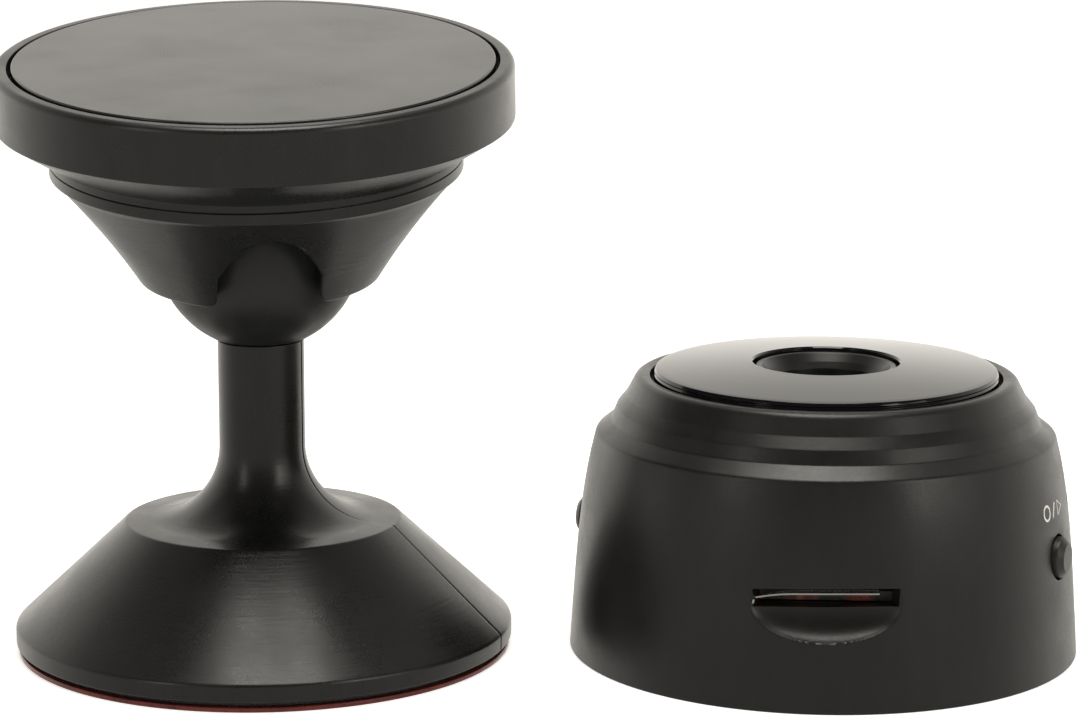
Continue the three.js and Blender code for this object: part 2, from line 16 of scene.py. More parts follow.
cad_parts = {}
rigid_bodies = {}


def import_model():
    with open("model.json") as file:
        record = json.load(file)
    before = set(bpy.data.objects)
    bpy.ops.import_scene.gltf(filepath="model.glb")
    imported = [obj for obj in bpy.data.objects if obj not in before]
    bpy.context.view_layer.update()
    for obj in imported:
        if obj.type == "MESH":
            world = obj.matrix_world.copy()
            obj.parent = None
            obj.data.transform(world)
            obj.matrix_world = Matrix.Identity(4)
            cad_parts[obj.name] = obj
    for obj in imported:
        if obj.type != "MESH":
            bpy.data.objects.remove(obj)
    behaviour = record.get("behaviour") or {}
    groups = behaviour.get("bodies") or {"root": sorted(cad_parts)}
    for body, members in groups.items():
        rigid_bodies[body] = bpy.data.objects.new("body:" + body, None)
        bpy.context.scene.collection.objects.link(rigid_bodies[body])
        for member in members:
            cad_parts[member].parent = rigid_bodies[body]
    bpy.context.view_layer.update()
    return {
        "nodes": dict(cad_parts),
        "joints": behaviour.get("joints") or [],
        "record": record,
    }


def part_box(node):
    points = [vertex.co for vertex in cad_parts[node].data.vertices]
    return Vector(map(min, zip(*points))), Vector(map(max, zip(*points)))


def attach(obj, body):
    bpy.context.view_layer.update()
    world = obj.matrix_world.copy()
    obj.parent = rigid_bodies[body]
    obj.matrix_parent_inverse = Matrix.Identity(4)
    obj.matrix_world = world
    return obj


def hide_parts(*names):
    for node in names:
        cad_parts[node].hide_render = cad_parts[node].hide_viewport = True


bl_info = {
    "name": "Dash camera and ball-joint stand",
    "version": (1, 0, 0),
    "blender": (4, 5, 0),
    "location": "View3D > Sidebar > Dash Camera",
    "description": "Makes the visible surfaces of a small dash camera and its stand",
    "category": "Object",
}

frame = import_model()
MM = 0.001
ROUND = 256             # sides of the large turned pieces
SMALL_ROUND = 96
FOOT_SIDES = 480        # enough to draw the foot's parting line
LINE_DEPTH = 0.075
LINE_CROWDING = 0.8     # how far the sides gather at the parting line
PLASTIC_IOR = 1.5
TREES = {}              # node trees made so far, by name


# ---- Places and sizes that come from the frame ---------------------------------------------------


def box_mm(node):
    """Lowest and highest corner of a CAD node, in millimetres."""
    low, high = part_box(node)
    return Vector(low) / MM, Vector(high) / MM


def middle_mm(node):
    """Middle of a CAD node's box, in millimetres."""
    low, high = box_mm(node)
    return (low + high) / 2


def radius_mm(node):
    """Radius of a round CAD node, in millimetres."""
    low, high = box_mm(node)
    return (high.x - low.x) / 2


JOINTS = {joint["name"]: joint for joint in frame["joints"]}
MOUNTS = {mount["name"]: mount for mount in frame["record"]["mounts"]}
STAND_X, STAND_Y, _ = middle_mm("stand_base")
CAMERA_X, CAMERA_Y, _ = middle_mm("housing_shell")
PIVOT = Vector(JOINTS["head_tilt"]["pos_m"]) / MM
TILT_AXIS = Vector(JOINTS["head_tilt"]["axis"])
HEAD_AXIS = Vector(MOUNTS["head_face"]["axis"])
HEAD_TILT = math.atan2(-HEAD_AXIS.y, HEAD_AXIS.z)
NOTCH_TURN = math.atan2(TILT_AXIS.y, TILT_AXIS.x)

AT_STAND = Matrix.Translation((STAND_X, STAND_Y, 0))
AT_CAMERA = Matrix.Translation((CAMERA_X, CAMERA_Y, 0))
AT_HEAD = Matrix.Translation(PIVOT) @ Matrix.Rotation(HEAD_TILT, 4, "X")

FOOT_R = radius_mm("stand_base")
FOOT_BOTTOM = box_mm("stand_base")[0].z
BALL_LOW, BALL_HIGH = box_mm("ball")
BALL_R = BALL_HIGH.z - PIVOT.z
BALL_CUT = PIVOT.z - BALL_LOW.z
COVER_R = radius_mm("head_cover_disc")
HEAD_R = radius_mm("head_shell")
HOUSING_R = radius_mm("housing_shell")
PANEL_R = radius_mm("front_panel")
PANEL_TOP = box_mm("front_panel")[1].z
LENS_TOP = box_mm("lens_barrel")[1].z


# ---- Mesh making ---------------------------------------------------------------------------------


def add_object(name, mesh):
    """Puts a mesh in the scene as a new object."""
    made = bpy.data.objects.new(name, mesh)
    bpy.context.scene.collection.objects.link(made)
    return made


def finish_mesh(mesh, place, sharp=None):
    """Scales a mesh from millimetres, places it and turns its faces outwards."""
    made = bmesh.new()
    made.from_mesh(mesh)
    bmesh.ops.remove_doubles(made, verts=made.verts, dist=1e-4)
    bmesh.ops.recalc_face_normals(made, faces=made.faces)
    made.to_mesh(mesh)
    made.free()
    mesh.transform(Matrix.Scale(MM, 4) @ place)
    mesh.polygons.foreach_set("use_smooth", [True] * len(mesh.polygons))
    if sharp is not None:
        mesh.set_sharp_from_angle(angle=math.radians(sharp))
    mesh.update()


def keep(name, made, place):
    """Turns a bmesh in millimetres into a placed object."""
    mesh = bpy.data.meshes.new(name)
    made.to_mesh(mesh)
    made.free()
    mesh.transform(Matrix.Scale(MM, 4) @ place)
    return add_object(name, mesh)


def around(radius, turn, height):
    """A point at a radius and height, turned about the axis from the front towards the right."""
    return (radius * math.sin(turn), -radius * math.cos(turn), height)


def settle(piece, body, slot, *nodes):
    """Gives a finished piece its body and hides the CAD nodes that it stands for; the slot is not used.
    """
    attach(piece, body)
    if nodes:
        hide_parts(*nodes)
    return piece


def rounded(corners, closed=False, support=0.12):
    """Points of an outline whose (radius, height, fillet) corners are rounded off.

    Short straight steps beside each fillet keep the shading of the flats clean.
    """
    points = []
    count = len(corners)
    for i, (radius, height, fillet) in enumerate(corners):
        corner = Vector((radius, height))
        if not closed and i in (0, count - 1):
            points.append(corner)
            continue
        before = Vector(corners[i - 1][:2]) - corner
        after = Vector(corners[(i + 1) % count][:2]) - corner
        half = before.angle(after) / 2
        reach = min(fillet / math.tan(half), 0.47 * before.length, 0.47 * after.length)
        reach = max(reach, 1e-3)
        start = corner + before.normalized() * reach
        end = corner + after.normalized() * reach
        bisector = (before.normalized() + after.normalized()).normalized()
        centre = corner + bisector * (reach / math.cos(half))
        steps = max(3, math.ceil((math.pi - 2 * half) / math.radians(11)))
        if reach + support < 0.45 * before.length:
            points.append(corner + before.normalized() * (reach + support))
        for k in range(steps + 1):
            spoke = start.lerp(end, k / steps) - centre
            spoke = spoke.normalized() * (start - centre).length
            points.append(centre + spoke)
        if reach + support < 0.45 * after.length:
            points.append(corner + after.normalized() * (reach + support))
    return [(point.x, point.y) for point in points]


def arc(centre, radius, start, end, steps):
    """Points of a circle's arc between two angles in degrees."""
    points = []
    for i in range(steps + 1):
        angle = math.radians(start + (end - start) * i / steps)
        points.append((centre[0] + radius * math.cos(angle), centre[1] + radius * math.sin(angle)))
    return points


def lattice(name, columns, place, sharp=None):
    """A closed skin over a grid of points: columns of rows that wrap round both ways."""
    points = np.asarray(columns, float)
    across, along = points.shape[:2]
    grid = np.arange(across * along).reshape(across, along)
    right = np.roll(grid, -1, axis=0)
    quads = np.stack([grid, right, np.roll(right, -1, axis=1), np.roll(grid, -1, axis=1)], axis=-1)
    mesh = bpy.data.meshes.new(name)
    mesh.from_pydata(points.reshape(-1, 3).tolist(), [], quads.reshape(-1, 4).tolist())
    finish_mesh(mesh, place, sharp)
    return add_object(name, mesh)


# ---- Node trees ----------------------------------------------------------------------------------


def fill(links, node, inputs):
    """Links or sets each of a node's inputs."""
    for slot, value in dict(inputs).items():
        if isinstance(value, bpy.types.NodeSocket):
            links.new(value, node.inputs[slot])
        else:
            node.inputs[slot].default_value = value


class Tree:
    """A geometry node tree that is built one node at a time."""

    def __init__(self, name, sockets):
        self.tree = bpy.data.node_groups.new(name, "GeometryNodeTree")
        self.ids = {}
        for label, kind in sockets:
            socket = self.tree.interface.new_socket(
                name=label, in_out="INPUT", socket_type="NodeSocket" + kind
            )
            self.ids[label] = socket.identifier
        self.tree.interface.new_socket(
            name="Geometry", in_out="OUTPUT", socket_type="NodeSocketGeometry"
        )
        self.source = self.tree.nodes.new("NodeGroupInput")
        self.target = self.tree.nodes.new("NodeGroupOutput")

    def add(self, kind, inputs=(), **settings):
        """Adds a node, sets it up and links or fills its inputs in order."""
        made = self.tree.nodes.new(kind)
        for key, value in settings.items():
            setattr(made, key, value)
        fill(self.tree.links, made, inputs)
        return made

    def math(self, operation, first, second=0.0):
        """One math node's result."""
        return self.add("ShaderNodeMath", {0: first, 1: second}, operation=operation).outputs[0]

    def finish(self, geometry, material):
        """Ends the tree in real geometry that carries its material."""
        real = self.add("GeometryNodeRealizeInstances", {"Geometry": geometry})
        painted = self.add(
            "GeometryNodeSetMaterial",
            {"Geometry": real.outputs["Geometry"], "Material": material},
        )
        self.tree.links.new(painted.outputs["Geometry"], self.target.inputs["Geometry"])

    def run(self, name, start, place, sharp=None, **values):
        """Evaluates the tree on a starting mesh and keeps the result as a plain object."""
        carrier = add_object(name + "_carrier", start)
        modifier = carrier.modifiers.new("shape", "NODES")
        modifier.node_group = self.tree
        for label, value in values.items():
            modifier[self.ids[label.replace("_", " ")]] = value
        carrier.update_tag()
        graph = bpy.context.evaluated_depsgraph_get()
        graph.update()
        mesh = bpy.data.meshes.new_from_object(carrier.evaluated_get(graph), depsgraph=graph)
        carrier.modifiers.remove(modifier)
        bpy.data.objects.remove(carrier)
        mesh.name = name
        finish_mesh(mesh, place, sharp)
        return add_object(name, mesh)


def turned_tree():
    """A section turned about its axis, with sides crowded round an optional parting line."""
    made = Tree(
        "turned_piece",
        [
            ("Section", "Geometry"),
            ("Sides", "Int"),
            ("Crowding", "Float"),
            ("Line Turn", "Float"),
            ("Line Depth", "Float"),
            ("Line Width", "Float"),
            ("Material", "Material"),
        ],
    )
    given = made.source.outputs
    points = made.add("GeometryNodeAttributeDomainSize", {"Geometry": given["Section"]})
    rows = points.outputs["Point Count"]
    sides = given["Sides"]
    grid = made.add(
        "GeometryNodeMeshGrid",
        {"Vertices X": made.math("ADD", sides, 1.0), "Vertices Y": rows},
    )
    index = made.add("GeometryNodeInputIndex").outputs[0]
    column = made.math("FLOOR", made.math("DIVIDE", made.math("ADD", index, 0.5), rows))
    row = made.math("SUBTRACT", index, made.math("MULTIPLY", column, rows))
    place = made.add("GeometryNodeInputPosition").outputs[0]
    sample = made.add(
        "GeometryNodeSampleIndex",
        {"Geometry": given["Section"], "Value": place, "Index": row},
        data_type="FLOAT_VECTOR",
    )
    section = made.add("ShaderNodeSeparateXYZ", {0: sample.outputs["Value"]})
    even = made.math("MULTIPLY", made.math("DIVIDE", column, sides), 2 * math.pi)
    from_line = made.math("SUBTRACT", even, given["Line Turn"])
    bunch = made.math("SINE", made.math("MULTIPLY", from_line, 2.0))
    shift = made.math("MULTIPLY", made.math("MULTIPLY", bunch, given["Crowding"]), 0.5)
    angle = made.math("SUBTRACT", even, shift)
    sideways = made.math("SINE", made.math("SUBTRACT", angle, given["Line Turn"]))
    off_line = made.math("MULTIPLY", sideways, section.outputs["X"])
    spread = made.math("DIVIDE", off_line, given["Line Width"])
    fall = made.math("MULTIPLY", made.math("MULTIPLY", spread, spread), -1.0)
    groove = made.math("MULTIPLY", made.math("EXPONENT", fall), given["Line Depth"])
    radius = made.math("MAXIMUM", made.math("SUBTRACT", section.outputs["X"], groove), 0.0)
    corner = made.add(
        "ShaderNodeCombineXYZ",
        {
            "X": made.math("MULTIPLY", radius, made.math("SINE", angle)),
            "Y": made.math("MULTIPLY", radius, made.math("MULTIPLY", made.math("COSINE", angle), -1.0)),
            "Z": section.outputs["Z"],
        },
    )
    moved = made.add(
        "GeometryNodeSetPosition",
        {"Geometry": grid.outputs["Mesh"], "Position": corner.outputs[0]},
    )
    closed = made.add(
        "GeometryNodeMergeByDistance", {"Geometry": moved.outputs[0], "Distance": 2e-4}
    )
    made.finish(closed.outputs[0], given["Material"])
    return made


def section_mesh(points):
    """The corners of a turned section as a chain of loose points."""
    mesh = bpy.data.meshes.new("section")
    mesh.from_pydata([(radius, 0, height) for radius, height in points], [], [])
    return mesh


def turned(name, points, place, material, sides=ROUND, line=None):
    """A turned piece. line is an optional parting line: its turn, depth, width and crowding."""
    if "turned" not in TREES:
        TREES["turned"] = turned_tree()
    turn, depth, width, crowding = line or (0.0, 0.0, 1.0, 0.0)
    return TREES["turned"].run(
        name,
        section_mesh(points),
        place,
        Sides=sides,
        Crowding=crowding,
        Line_Turn=turn,
        Line_Depth=depth,
        Line_Width=width,
        Material=material,
    )


# ---- Materials -----------------------------------------------------------------------------------


class Finish:
    """A procedural material on object coordinates, in millimetres."""

    def __init__(self, name, **settings):
        self.material = bpy.data.materials.new(name)
        self.material.use_nodes = True
        self.nodes = self.material.node_tree.nodes
        self.links = self.material.node_tree.links
        self.shader = self.nodes["Principled BSDF"]
        for socket, value in settings.items():
            self.shader.inputs[socket.replace("_", " ")].default_value = value
        self.material.diffuse_color = self.shader.inputs["Base Color"].default_value
        coords = self.nodes.new("ShaderNodeTexCoord")
        scaled = self.nodes.new("ShaderNodeVectorMath")
        scaled.operation = "SCALE"
        scaled.inputs["Scale"].default_value = 1 / MM
        self.links.new(coords.outputs["Object"], scaled.inputs[0])
        self.mm = scaled.outputs[0]

    def add(self, kind, inputs=(), **settings):
        """Adds a node, sets it up and links or fills its inputs."""
        made = self.nodes.new(kind)
        for key, value in settings.items():
            setattr(made, key, value)
        fill(self.links, made, inputs)
        return made

    def stretched(self, scale, turn=(0.0, 0.0, 0.0)):
        """Object coordinates scaled differently along each axis."""
        made = self.add("ShaderNodeMapping", {"Vector": self.mm, "Rotation": turn, "Scale": scale})
        return made.outputs[0]

    def noise(self, size, detail=2.0, rough=0.5, vector=None):
        """Noise whose features are about size millimetres across."""
        made = self.add(
            "ShaderNodeTexNoise",
            {
                "Vector": vector or self.mm,
                "Scale": 1 / size,
                "Detail": detail,
                "Roughness": rough,
            },
        )
        return made.outputs["Fac"]

    def ramp(self, value, low, high, to_low=0.0, to_high=1.0):
        """Spreads a value's range from low to high over another range."""
        made = self.add(
            "ShaderNodeMapRange",
            {
                "Value": value,
                "From Min": low,
                "From Max": high,
                "To Min": to_low,
                "To Max": to_high,
            },
        )
        return made.outputs[0]

    def math(self, operation, first, second=0.0):
        """One math node's result."""
        return self.add("ShaderNodeMath", {0: first, 1: second}, operation=operation).outputs[0]

    def mix(self, factor, first, second):
        """One colour laid over another by a factor."""
        made = self.add("ShaderNodeMix", {0: factor, 6: first, 7: second}, data_type="RGBA")
        return made.outputs[2]

    def specks(self, spacing, radius, share):
        """A mask of small dust specks, one in a share of the cells of a loose grid."""
        cells = self.add(
            "ShaderNodeTexVoronoi",
            {"Vector": self.mm, "Scale": 1 / spacing, "Randomness": 1.0},
        )
        near = self.ramp(cells.outputs["Distance"], radius / spacing, 0.4 * radius / spacing)
        drawn = self.add("ShaderNodeSeparateColor", {0: cells.outputs["Color"]})
        chosen = self.math("LESS_THAN", drawn.outputs[0], share)
        return self.math("MULTIPLY", near, chosen)

    def bump(self, *layers):
        """Stacks (height, depth in millimetres) layers of relief on the shader."""
        normal = None
        for height, depth in layers:
            made = self.add(
                "ShaderNodeBump", {"Height": height, "Strength": 1.0, "Distance": depth * MM}
            )
            if normal is not None:
                self.links.new(normal, made.inputs["Normal"])
            normal = made.outputs[0]
        self.links.new(normal, self.shader.inputs["Normal"])

    def paint(self, colour=None, roughness=None):
        """Links a colour and a roughness to the shader."""
        if colour is not None:
            self.links.new(colour, self.shader.inputs["Base Color"])
        if roughness is not None:
            self.links.new(roughness, self.shader.inputs["Roughness"])
        return self.material


def rgba(colour):
    """A colour with full opacity."""
    return (*colour, 1.0)


def moulded(name, colour, roughness, grain=0.16, relief=0.004, dust=0.5, haze=0.05, lines=0.0):
    """Satin moulded plastic: fine grain, uneven gloss, faint haze, dust and level flow lines."""
    made = Finish(name, Base_Color=rgba(colour), Roughness=roughness, IOR=PLASTIC_IOR)
    patches = made.noise(5.0, 3.0, 0.55)
    pores = made.noise(grain, 3.0, 0.6)
    wipe = made.noise(1.6, 4.0, 0.6, made.stretched((1.0, 1.0, 0.25)))
    gloss = made.ramp(patches, 0.3, 0.7, roughness - haze, roughness + haze)
    gloss = made.math("ADD", gloss, made.ramp(pores, 0.3, 0.7, -0.03, 0.03))
    rubbed = made.mix(
        made.ramp(wipe, 0.45, 0.8, 0.0, 0.35), rgba(colour), rgba([1.5 * c + 0.004 for c in colour])
    )
    speck = made.specks(3.4, 0.07, 0.22 * dust)
    dusty = made.mix(speck, rubbed, rgba((0.35, 0.34, 0.32)))
    layers = [(made.noise(0.9, 2.0, 0.5), relief * 0.6), (pores, relief)]
    if lines:
        layers.append((made.noise(1.0, 3.0, 0.55, made.stretched((0.22, 0.22, 4.5))), lines))
    made.bump(*layers)
    return made.paint(dusty, gloss)


def scuffed_ball():
    """The ball's plastic, rubbed by its socket: fine scratches round it and duller patches."""
    colour = (0.0115, 0.0115, 0.0115)
    made = Finish("ball_black", Base_Color=rgba(colour), Roughness=0.36, IOR=PLASTIC_IOR)
    level = made.stretched((0.5, 0.5, 9.0), (0.12, 0.08, 0.0))
    scratch = made.ramp(made.noise(1.0, 4.0, 0.7, level), 0.58, 0.75)
    cross = made.stretched((9.0, 0.6, 0.8), (0.0, 0.5, 0.4))
    second = made.ramp(made.noise(1.0, 3.0, 0.7, cross), 0.62, 0.8)
    marks = made.math("MAXIMUM", scratch, second)
    patches = made.ramp(made.noise(2.4, 4.0, 0.6), 0.42, 0.62)
    worn = made.math("MULTIPLY", marks, patches)
    gloss = made.math("ADD", made.ramp(patches, 0.0, 1.0, 0.31, 0.42), made.ramp(worn, 0, 1, 0, 0.15))
    tone = made.mix(made.ramp(worn, 0, 1, 0, 0.6), rgba(colour), rgba((0.045, 0.044, 0.042)))
    dusty = made.mix(made.specks(2.0, 0.075, 0.5), tone, rgba((0.5, 0.48, 0.44)))
    made.bump((made.noise(0.18, 3.0, 0.6), 0.003), (worn, -0.01))
    return made.paint(dusty, gloss)


def satin_cover():
    """The head's smooth contact disc: a fine grain, a few marks and some lint."""
    colour = (0.020, 0.020, 0.020)
    made = Finish("cover_satin", Base_Color=rgba(colour), Roughness=0.22, IOR=PLASTIC_IOR)
    patches = made.noise(7.0, 3.0, 0.5)
    fine = made.noise(0.12, 2.0, 0.6)
    gloss = made.ramp(patches, 0.3, 0.7, 0.18, 0.27)
    gloss = made.math("ADD", gloss, made.ramp(fine, 0.35, 0.65, -0.02, 0.02))
    marks = made.specks(5.5, 0.16, 0.12)
    drawn_out = made.stretched((0.25, 4.0, 1.0), (0, 0, 0.5))
    lint = made.ramp(made.noise(1.0, 2.0, 0.6, drawn_out), 0.76, 0.82)
    dirt = made.math("MAXIMUM", marks, made.math("MULTIPLY", lint, 0.3))
    tone = made.mix(dirt, rgba(colour), rgba((0.09, 0.088, 0.085)))
    made.bump((fine, 0.0006), (made.noise(3.0, 2.0, 0.5), 0.004))
    return made.paint(tone, gloss)


def gloss_panel():
    """The camera's dark filter disc: nearly a mirror, with the faintest swirl and dust."""
    colour = (0.006, 0.006, 0.007)
    made = Finish("panel_gloss", Base_Color=rgba(colour), Roughness=0.08, IOR=PLASTIC_IOR)
    haze = made.noise(4.0, 3.0, 0.5)
    gloss = made.ramp(haze, 0.3, 0.7, 0.06, 0.11)
    dusty = made.mix(made.specks(3.0, 0.05, 0.3), rgba(colour), rgba((0.3, 0.29, 0.28)))
    made.bump((made.noise(6.0, 1.0, 0.5), 0.002))
    return made.paint(dusty, gloss)


def foam(name, colour):
    """Closed-cell foam with its pores showing at the edge."""
    made = Finish(name, Base_Color=rgba(colour), Roughness=0.9)
    cells = made.add("ShaderNodeTexVoronoi", {"Vector": made.mm, "Scale": 5.0})
    walls = made.ramp(cells.outputs["Distance"], 0.1, 0.6)
    tone = made.mix(walls, rgba(colour), rgba([2.2 * c + 0.01 for c in colour]))
    made.bump((cells.outputs["Distance"], 0.03))
    return made.paint(tone, made.ramp(made.noise(1.5), 0.3, 0.7, 0.8, 0.95))


def red_film():
    """Release film: a glossy red skin, slightly wrinkled and darker where it is thick."""
    colour = (0.13, 0.020, 0.015)
    made = Finish("liner_red", Base_Color=rgba(colour), Roughness=0.3, IOR=1.46)
    waves = made.noise(2.5, 2.0, 0.5, made.stretched((1.0, 1.0, 0.2)))
    tone = made.mix(made.ramp(waves, 0.3, 0.7), rgba((0.09, 0.013, 0.010)), rgba((0.16, 0.026, 0.019)))
    made.bump((waves, 0.03))
    return made.paint(tone, made.ramp(made.noise(0.6), 0.3, 0.7, 0.24, 0.38))


def metal(name, colour, roughness, brush=(1.0, 1.0, 8.0)):
    """Plated or rolled metal with a fine grain one way."""
    made = Finish(name, Base_Color=rgba(colour), Metallic=1.0, Roughness=roughness)
    grain = made.noise(0.6, 3.0, 0.6, made.stretched(brush))
    patches = made.ramp(made.noise(2.5), 0.35, 0.7)
    tone = made.mix(patches, rgba(colour), rgba([0.8 * c for c in colour]))
    made.bump((grain, 0.003))
    return made.paint(tone, made.ramp(grain, 0.3, 0.7, roughness - 0.06, roughness + 0.08))


def circuit_board():
    """Dark red solder mask with copper tracks under it and bare pads."""
    made = Finish("circuit_board", Base_Color=rgba((0.16, 0.015, 0.012)), Roughness=0.38, IOR=PLASTIC_IOR)
    tracks = made.add(
        "ShaderNodeTexWave",
        {"Vector": made.stretched((1.0, 1.0, 0.0)), "Scale": 0.45, "Distortion": 6.0, "Detail": 0.0},
    )
    track = made.ramp(tracks.outputs["Fac"], 0.62, 0.7)
    under = made.mix(track, rgba((0.13, 0.012, 0.010)), rgba((0.22, 0.024, 0.016)))
    pads = made.specks(1.3, 0.22, 0.4)
    tone = made.mix(pads, under, rgba((0.62, 0.6, 0.55)))
    made.bump((track, 0.02))
    made.links.new(made.ramp(pads, 0, 1, 0, 0.9), made.shader.inputs["Metallic"])
    return made.paint(tone, made.ramp(made.noise(1.0), 0.3, 0.7, 0.3, 0.42))


def coated_glass():
    """A lens element: clear, smooth, with a dark bluish coating."""
    made = Finish(
        "lens_glass", Base_Color=rgba((0.05, 0.06, 0.08)), Roughness=0.02, IOR=1.6
    )
    made.shader.inputs["Coat Weight"].default_value = 0.6
    made.shader.inputs["Coat IOR"].default_value = 1.7
    made.shader.inputs["Coat Tint"].default_value = rgba((0.75, 0.8, 1.0))
    rings = made.noise(3.0, 1.0, 0.4)
    tone = made.mix(made.ramp(rings, 0.3, 0.7), rgba((0.010, 0.012, 0.02)), rgba((0.018, 0.016, 0.026)))
    made.bump((made.noise(2.0, 1.0, 0.4), 0.0005))
    return made.paint(tone, made.ramp(made.noise(1.0), 0.3, 0.7, 0.02, 0.04))


def plain_resin(name, colour, roughness, size=0.5):
    """Small moulded parts: a slightly uneven tone and a fine grain."""
    made = Finish(name, Base_Color=rgba(colour), Roughness=roughness)
    dark, light = ([share * c for c in colour] for share in (0.85, 1.15))
    tone = made.mix(made.ramp(made.noise(size * 2), 0.3, 0.7), rgba(dark), rgba(light))
    made.bump((made.noise(size / 3, 3.0), 0.004))
    return made.paint(tone, made.ramp(made.noise(size), 0.3, 0.7, roughness - 0.06, roughness + 0.06))


def print_white():
    """Pad-printed ink: slightly thin in places."""
    made = Finish("print_white", Base_Color=rgba((0.72, 0.71, 0.68)), Roughness=0.55)
    thin = made.noise(0.12, 3.0, 0.6)
    tone = made.mix(made.ramp(thin, 0.35, 0.6), rgba((0.5, 0.49, 0.47)), rgba((0.78, 0.77, 0.74)))
    made.bump((thin, 0.002))
    return made.paint(tone, made.ramp(thin, 0.3, 0.7, 0.5, 0.62))


def contacts_with_painted_shade():
    """The card socket's contacts and red insulator, with near-black painted shade in patches from side to
    side.
    """
    made = Finish("contact_red", Base_Color=rgba((0.2, 0.02, 0.015)), Roughness=0.35)
    across = made.stretched((1.0, 0.0, 0.25))
    red = made.ramp(made.noise(2.2, 2.0, 0.6, across), 0.46, 0.62)
    brass = made.ramp(made.noise(1.1, 1.0, 0.5, across), 0.6, 0.68)
    # Near-black painted shade covers parts of the red insulator, so the red reads as lit only in patches;
    # the brass is the contacts' own colour.
    tone = made.mix(red, rgba((0.012, 0.014, 0.009)), rgba((0.22, 0.02, 0.014)))
    tone = made.mix(made.math("MULTIPLY", brass, 0.7), tone, rgba((0.16, 0.1, 0.03)))
    made.bump((made.noise(0.3, 2.0), 0.02))
    return made.paint(tone, made.ramp(made.noise(0.4), 0.3, 0.7, 0.25, 0.45))


FINISHES = {
    "contact_red": contacts_with_painted_shade,
    "stand_black": lambda: moulded("stand_black", (0.0095, 0.0095, 0.0093), 0.3, dust=1.3, lines=0.016),
    "camera_black": lambda: moulded(
        "camera_black", (0.0068, 0.0068, 0.0066), 0.36, grain=0.3, relief=0.008
    ),
    "button_black": lambda: moulded("button_black", (0.02, 0.019, 0.0175), 0.38, grain=0.12, dust=0.2),
    "lens_black": lambda: moulded(
        "lens_black", (0.008, 0.008, 0.008), 0.34, grain=0.1, relief=0.002, dust=0.3
    ),
    "ball_black": scuffed_ball,
    "cover_satin": satin_cover,
    "panel_gloss": gloss_panel,
    "lens_glass": coated_glass,
    "pad_foam": lambda: foam("pad_foam", (0.02, 0.02, 0.02)),
    "liner_red": red_film,
    "magnet_metal": lambda: metal("magnet_metal", (0.34, 0.34, 0.36), 0.35),
    "plated_steel": lambda: metal("plated_steel", (0.62, 0.62, 0.61), 0.24),
    "cell_foil": lambda: metal("cell_foil", (0.62, 0.63, 0.65), 0.34, (1.0, 1.0, 1.0)),
    "antenna_copper": lambda: metal("antenna_copper", (0.62, 0.30, 0.14), 0.3),
    "circuit_board": circuit_board,
    "chip_black": lambda: plain_resin("chip_black", (0.02, 0.02, 0.022), 0.5),
    "insulator": lambda: plain_resin("insulator", (0.022, 0.022, 0.018), 0.55),
    "led_resin": lambda: plain_resin("led_resin", (0.62, 0.60, 0.50), 0.25),
    "wire_red": lambda: plain_resin("wire_red", (0.30, 0.015, 0.015), 0.45),
    "wire_black": lambda: plain_resin("wire_black", (0.02, 0.02, 0.02), 0.45),
    "print_white": print_white,
}
MADE = {}               # finishes made so far, by name


def finish(name):
    """The named finish, made the first time that it is asked for."""
    if name not in MADE:
        MADE[name] = FINISHES[name]()
    return MADE[name]


def coat(piece, name):
    """Gives a piece one finish all over."""
    piece.data.materials.clear()
    piece.data.materials.append(finish(name))


# ---- Settings ------------------------------------------------------------------------------------


class StandSettings(bpy.types.PropertyGroup):
    """Sizes of the stand that the frame doesn't state."""

    line_turn: FloatProperty(
        name="Parting line", description="Turn of the mould line about the post",
        default=math.radians(74), subtype="ANGLE",
    )
    line_width: FloatProperty(
        name="Line width", description="Width of the mould line, in millimetres", default=0.11
    )
    notch_half: FloatProperty(
        name="Notch half width", description="Half the notch's width, in millimetres", default=4.25
    )
    notch_top: FloatProperty(
        name="Notch top",
        description="Height of the arch above the ball's centre, in millimetres",
        default=5.05,
    )


class CameraSettings(bpy.types.PropertyGroup):
    """Sizes of the camera that the frame doesn't state."""

    slot_width: FloatProperty(
        name="Slot width", description="Width of the card slot, in millimetres", default=12.0
    )
    scoop_depth: FloatProperty(
        name="Scoop depth", description="Depth of the thumbnail scoop, in millimetres", default=1.45
    )


class StageSettings(bpy.types.PropertyGroup):
    """The view and the light."""

    camera_place: FloatVectorProperty(
        name="Camera place", description="Camera from the lens axis on the floor, in millimetres",
        default=(-24.31, -299.31, 84.58), size=3,
    )
    camera_pitch: FloatProperty(
        name="Camera pitch", description="How far the camera looks down",
        default=math.radians(11.325), subtype="ANGLE",
    )
    lens: FloatProperty(name="Lens", description="Focal length, in millimetres", default=119.79)


# ---- Pieces of the stand -------------------------------------------------------------------------


def foot_section():
    """The foot, its flare and the post, from the underside's middle round to the top's."""
    flare = 6.3             # radius of the sweep from the dish into the post
    dish = 11.3             # height of the dish on top of the cone
    post = 3.65
    spigot = 2.4
    cavity = 18.2           # radius of the hollow under the foot
    post_top = PIVOT.z - BALL_CUT - 0.05
    outside = rounded(
        [
            (cavity, FOOT_BOTTOM, 0.1),
            (FOOT_R - 0.02, FOOT_BOTTOM, 0.22),
            (FOOT_R, 2.25, 0.45),
            (11.74, 11.14, 0.4),
            (post + flare, dish, 0.0),
        ]
    )[1:-1]
    sweep = arc((post + flare, dish + flare), flare, 270, 180, 40)
    upper = rounded(
        [
            (post, dish + flare, 0),
            (post, post_top, 0.08),
            (spigot, post_top, 0.05),
            (spigot, post_top + 4.6, 0.3),
            (0, post_top + 4.9, 0),
        ]
    )[1:]
    under = rounded([(0, 8.6, 0), (9.6, 8.6, 0.4), (cavity, 1.7, 0.3), (cavity, FOOT_BOTTOM, 0)])
    return under[:-1] + outside + sweep + upper


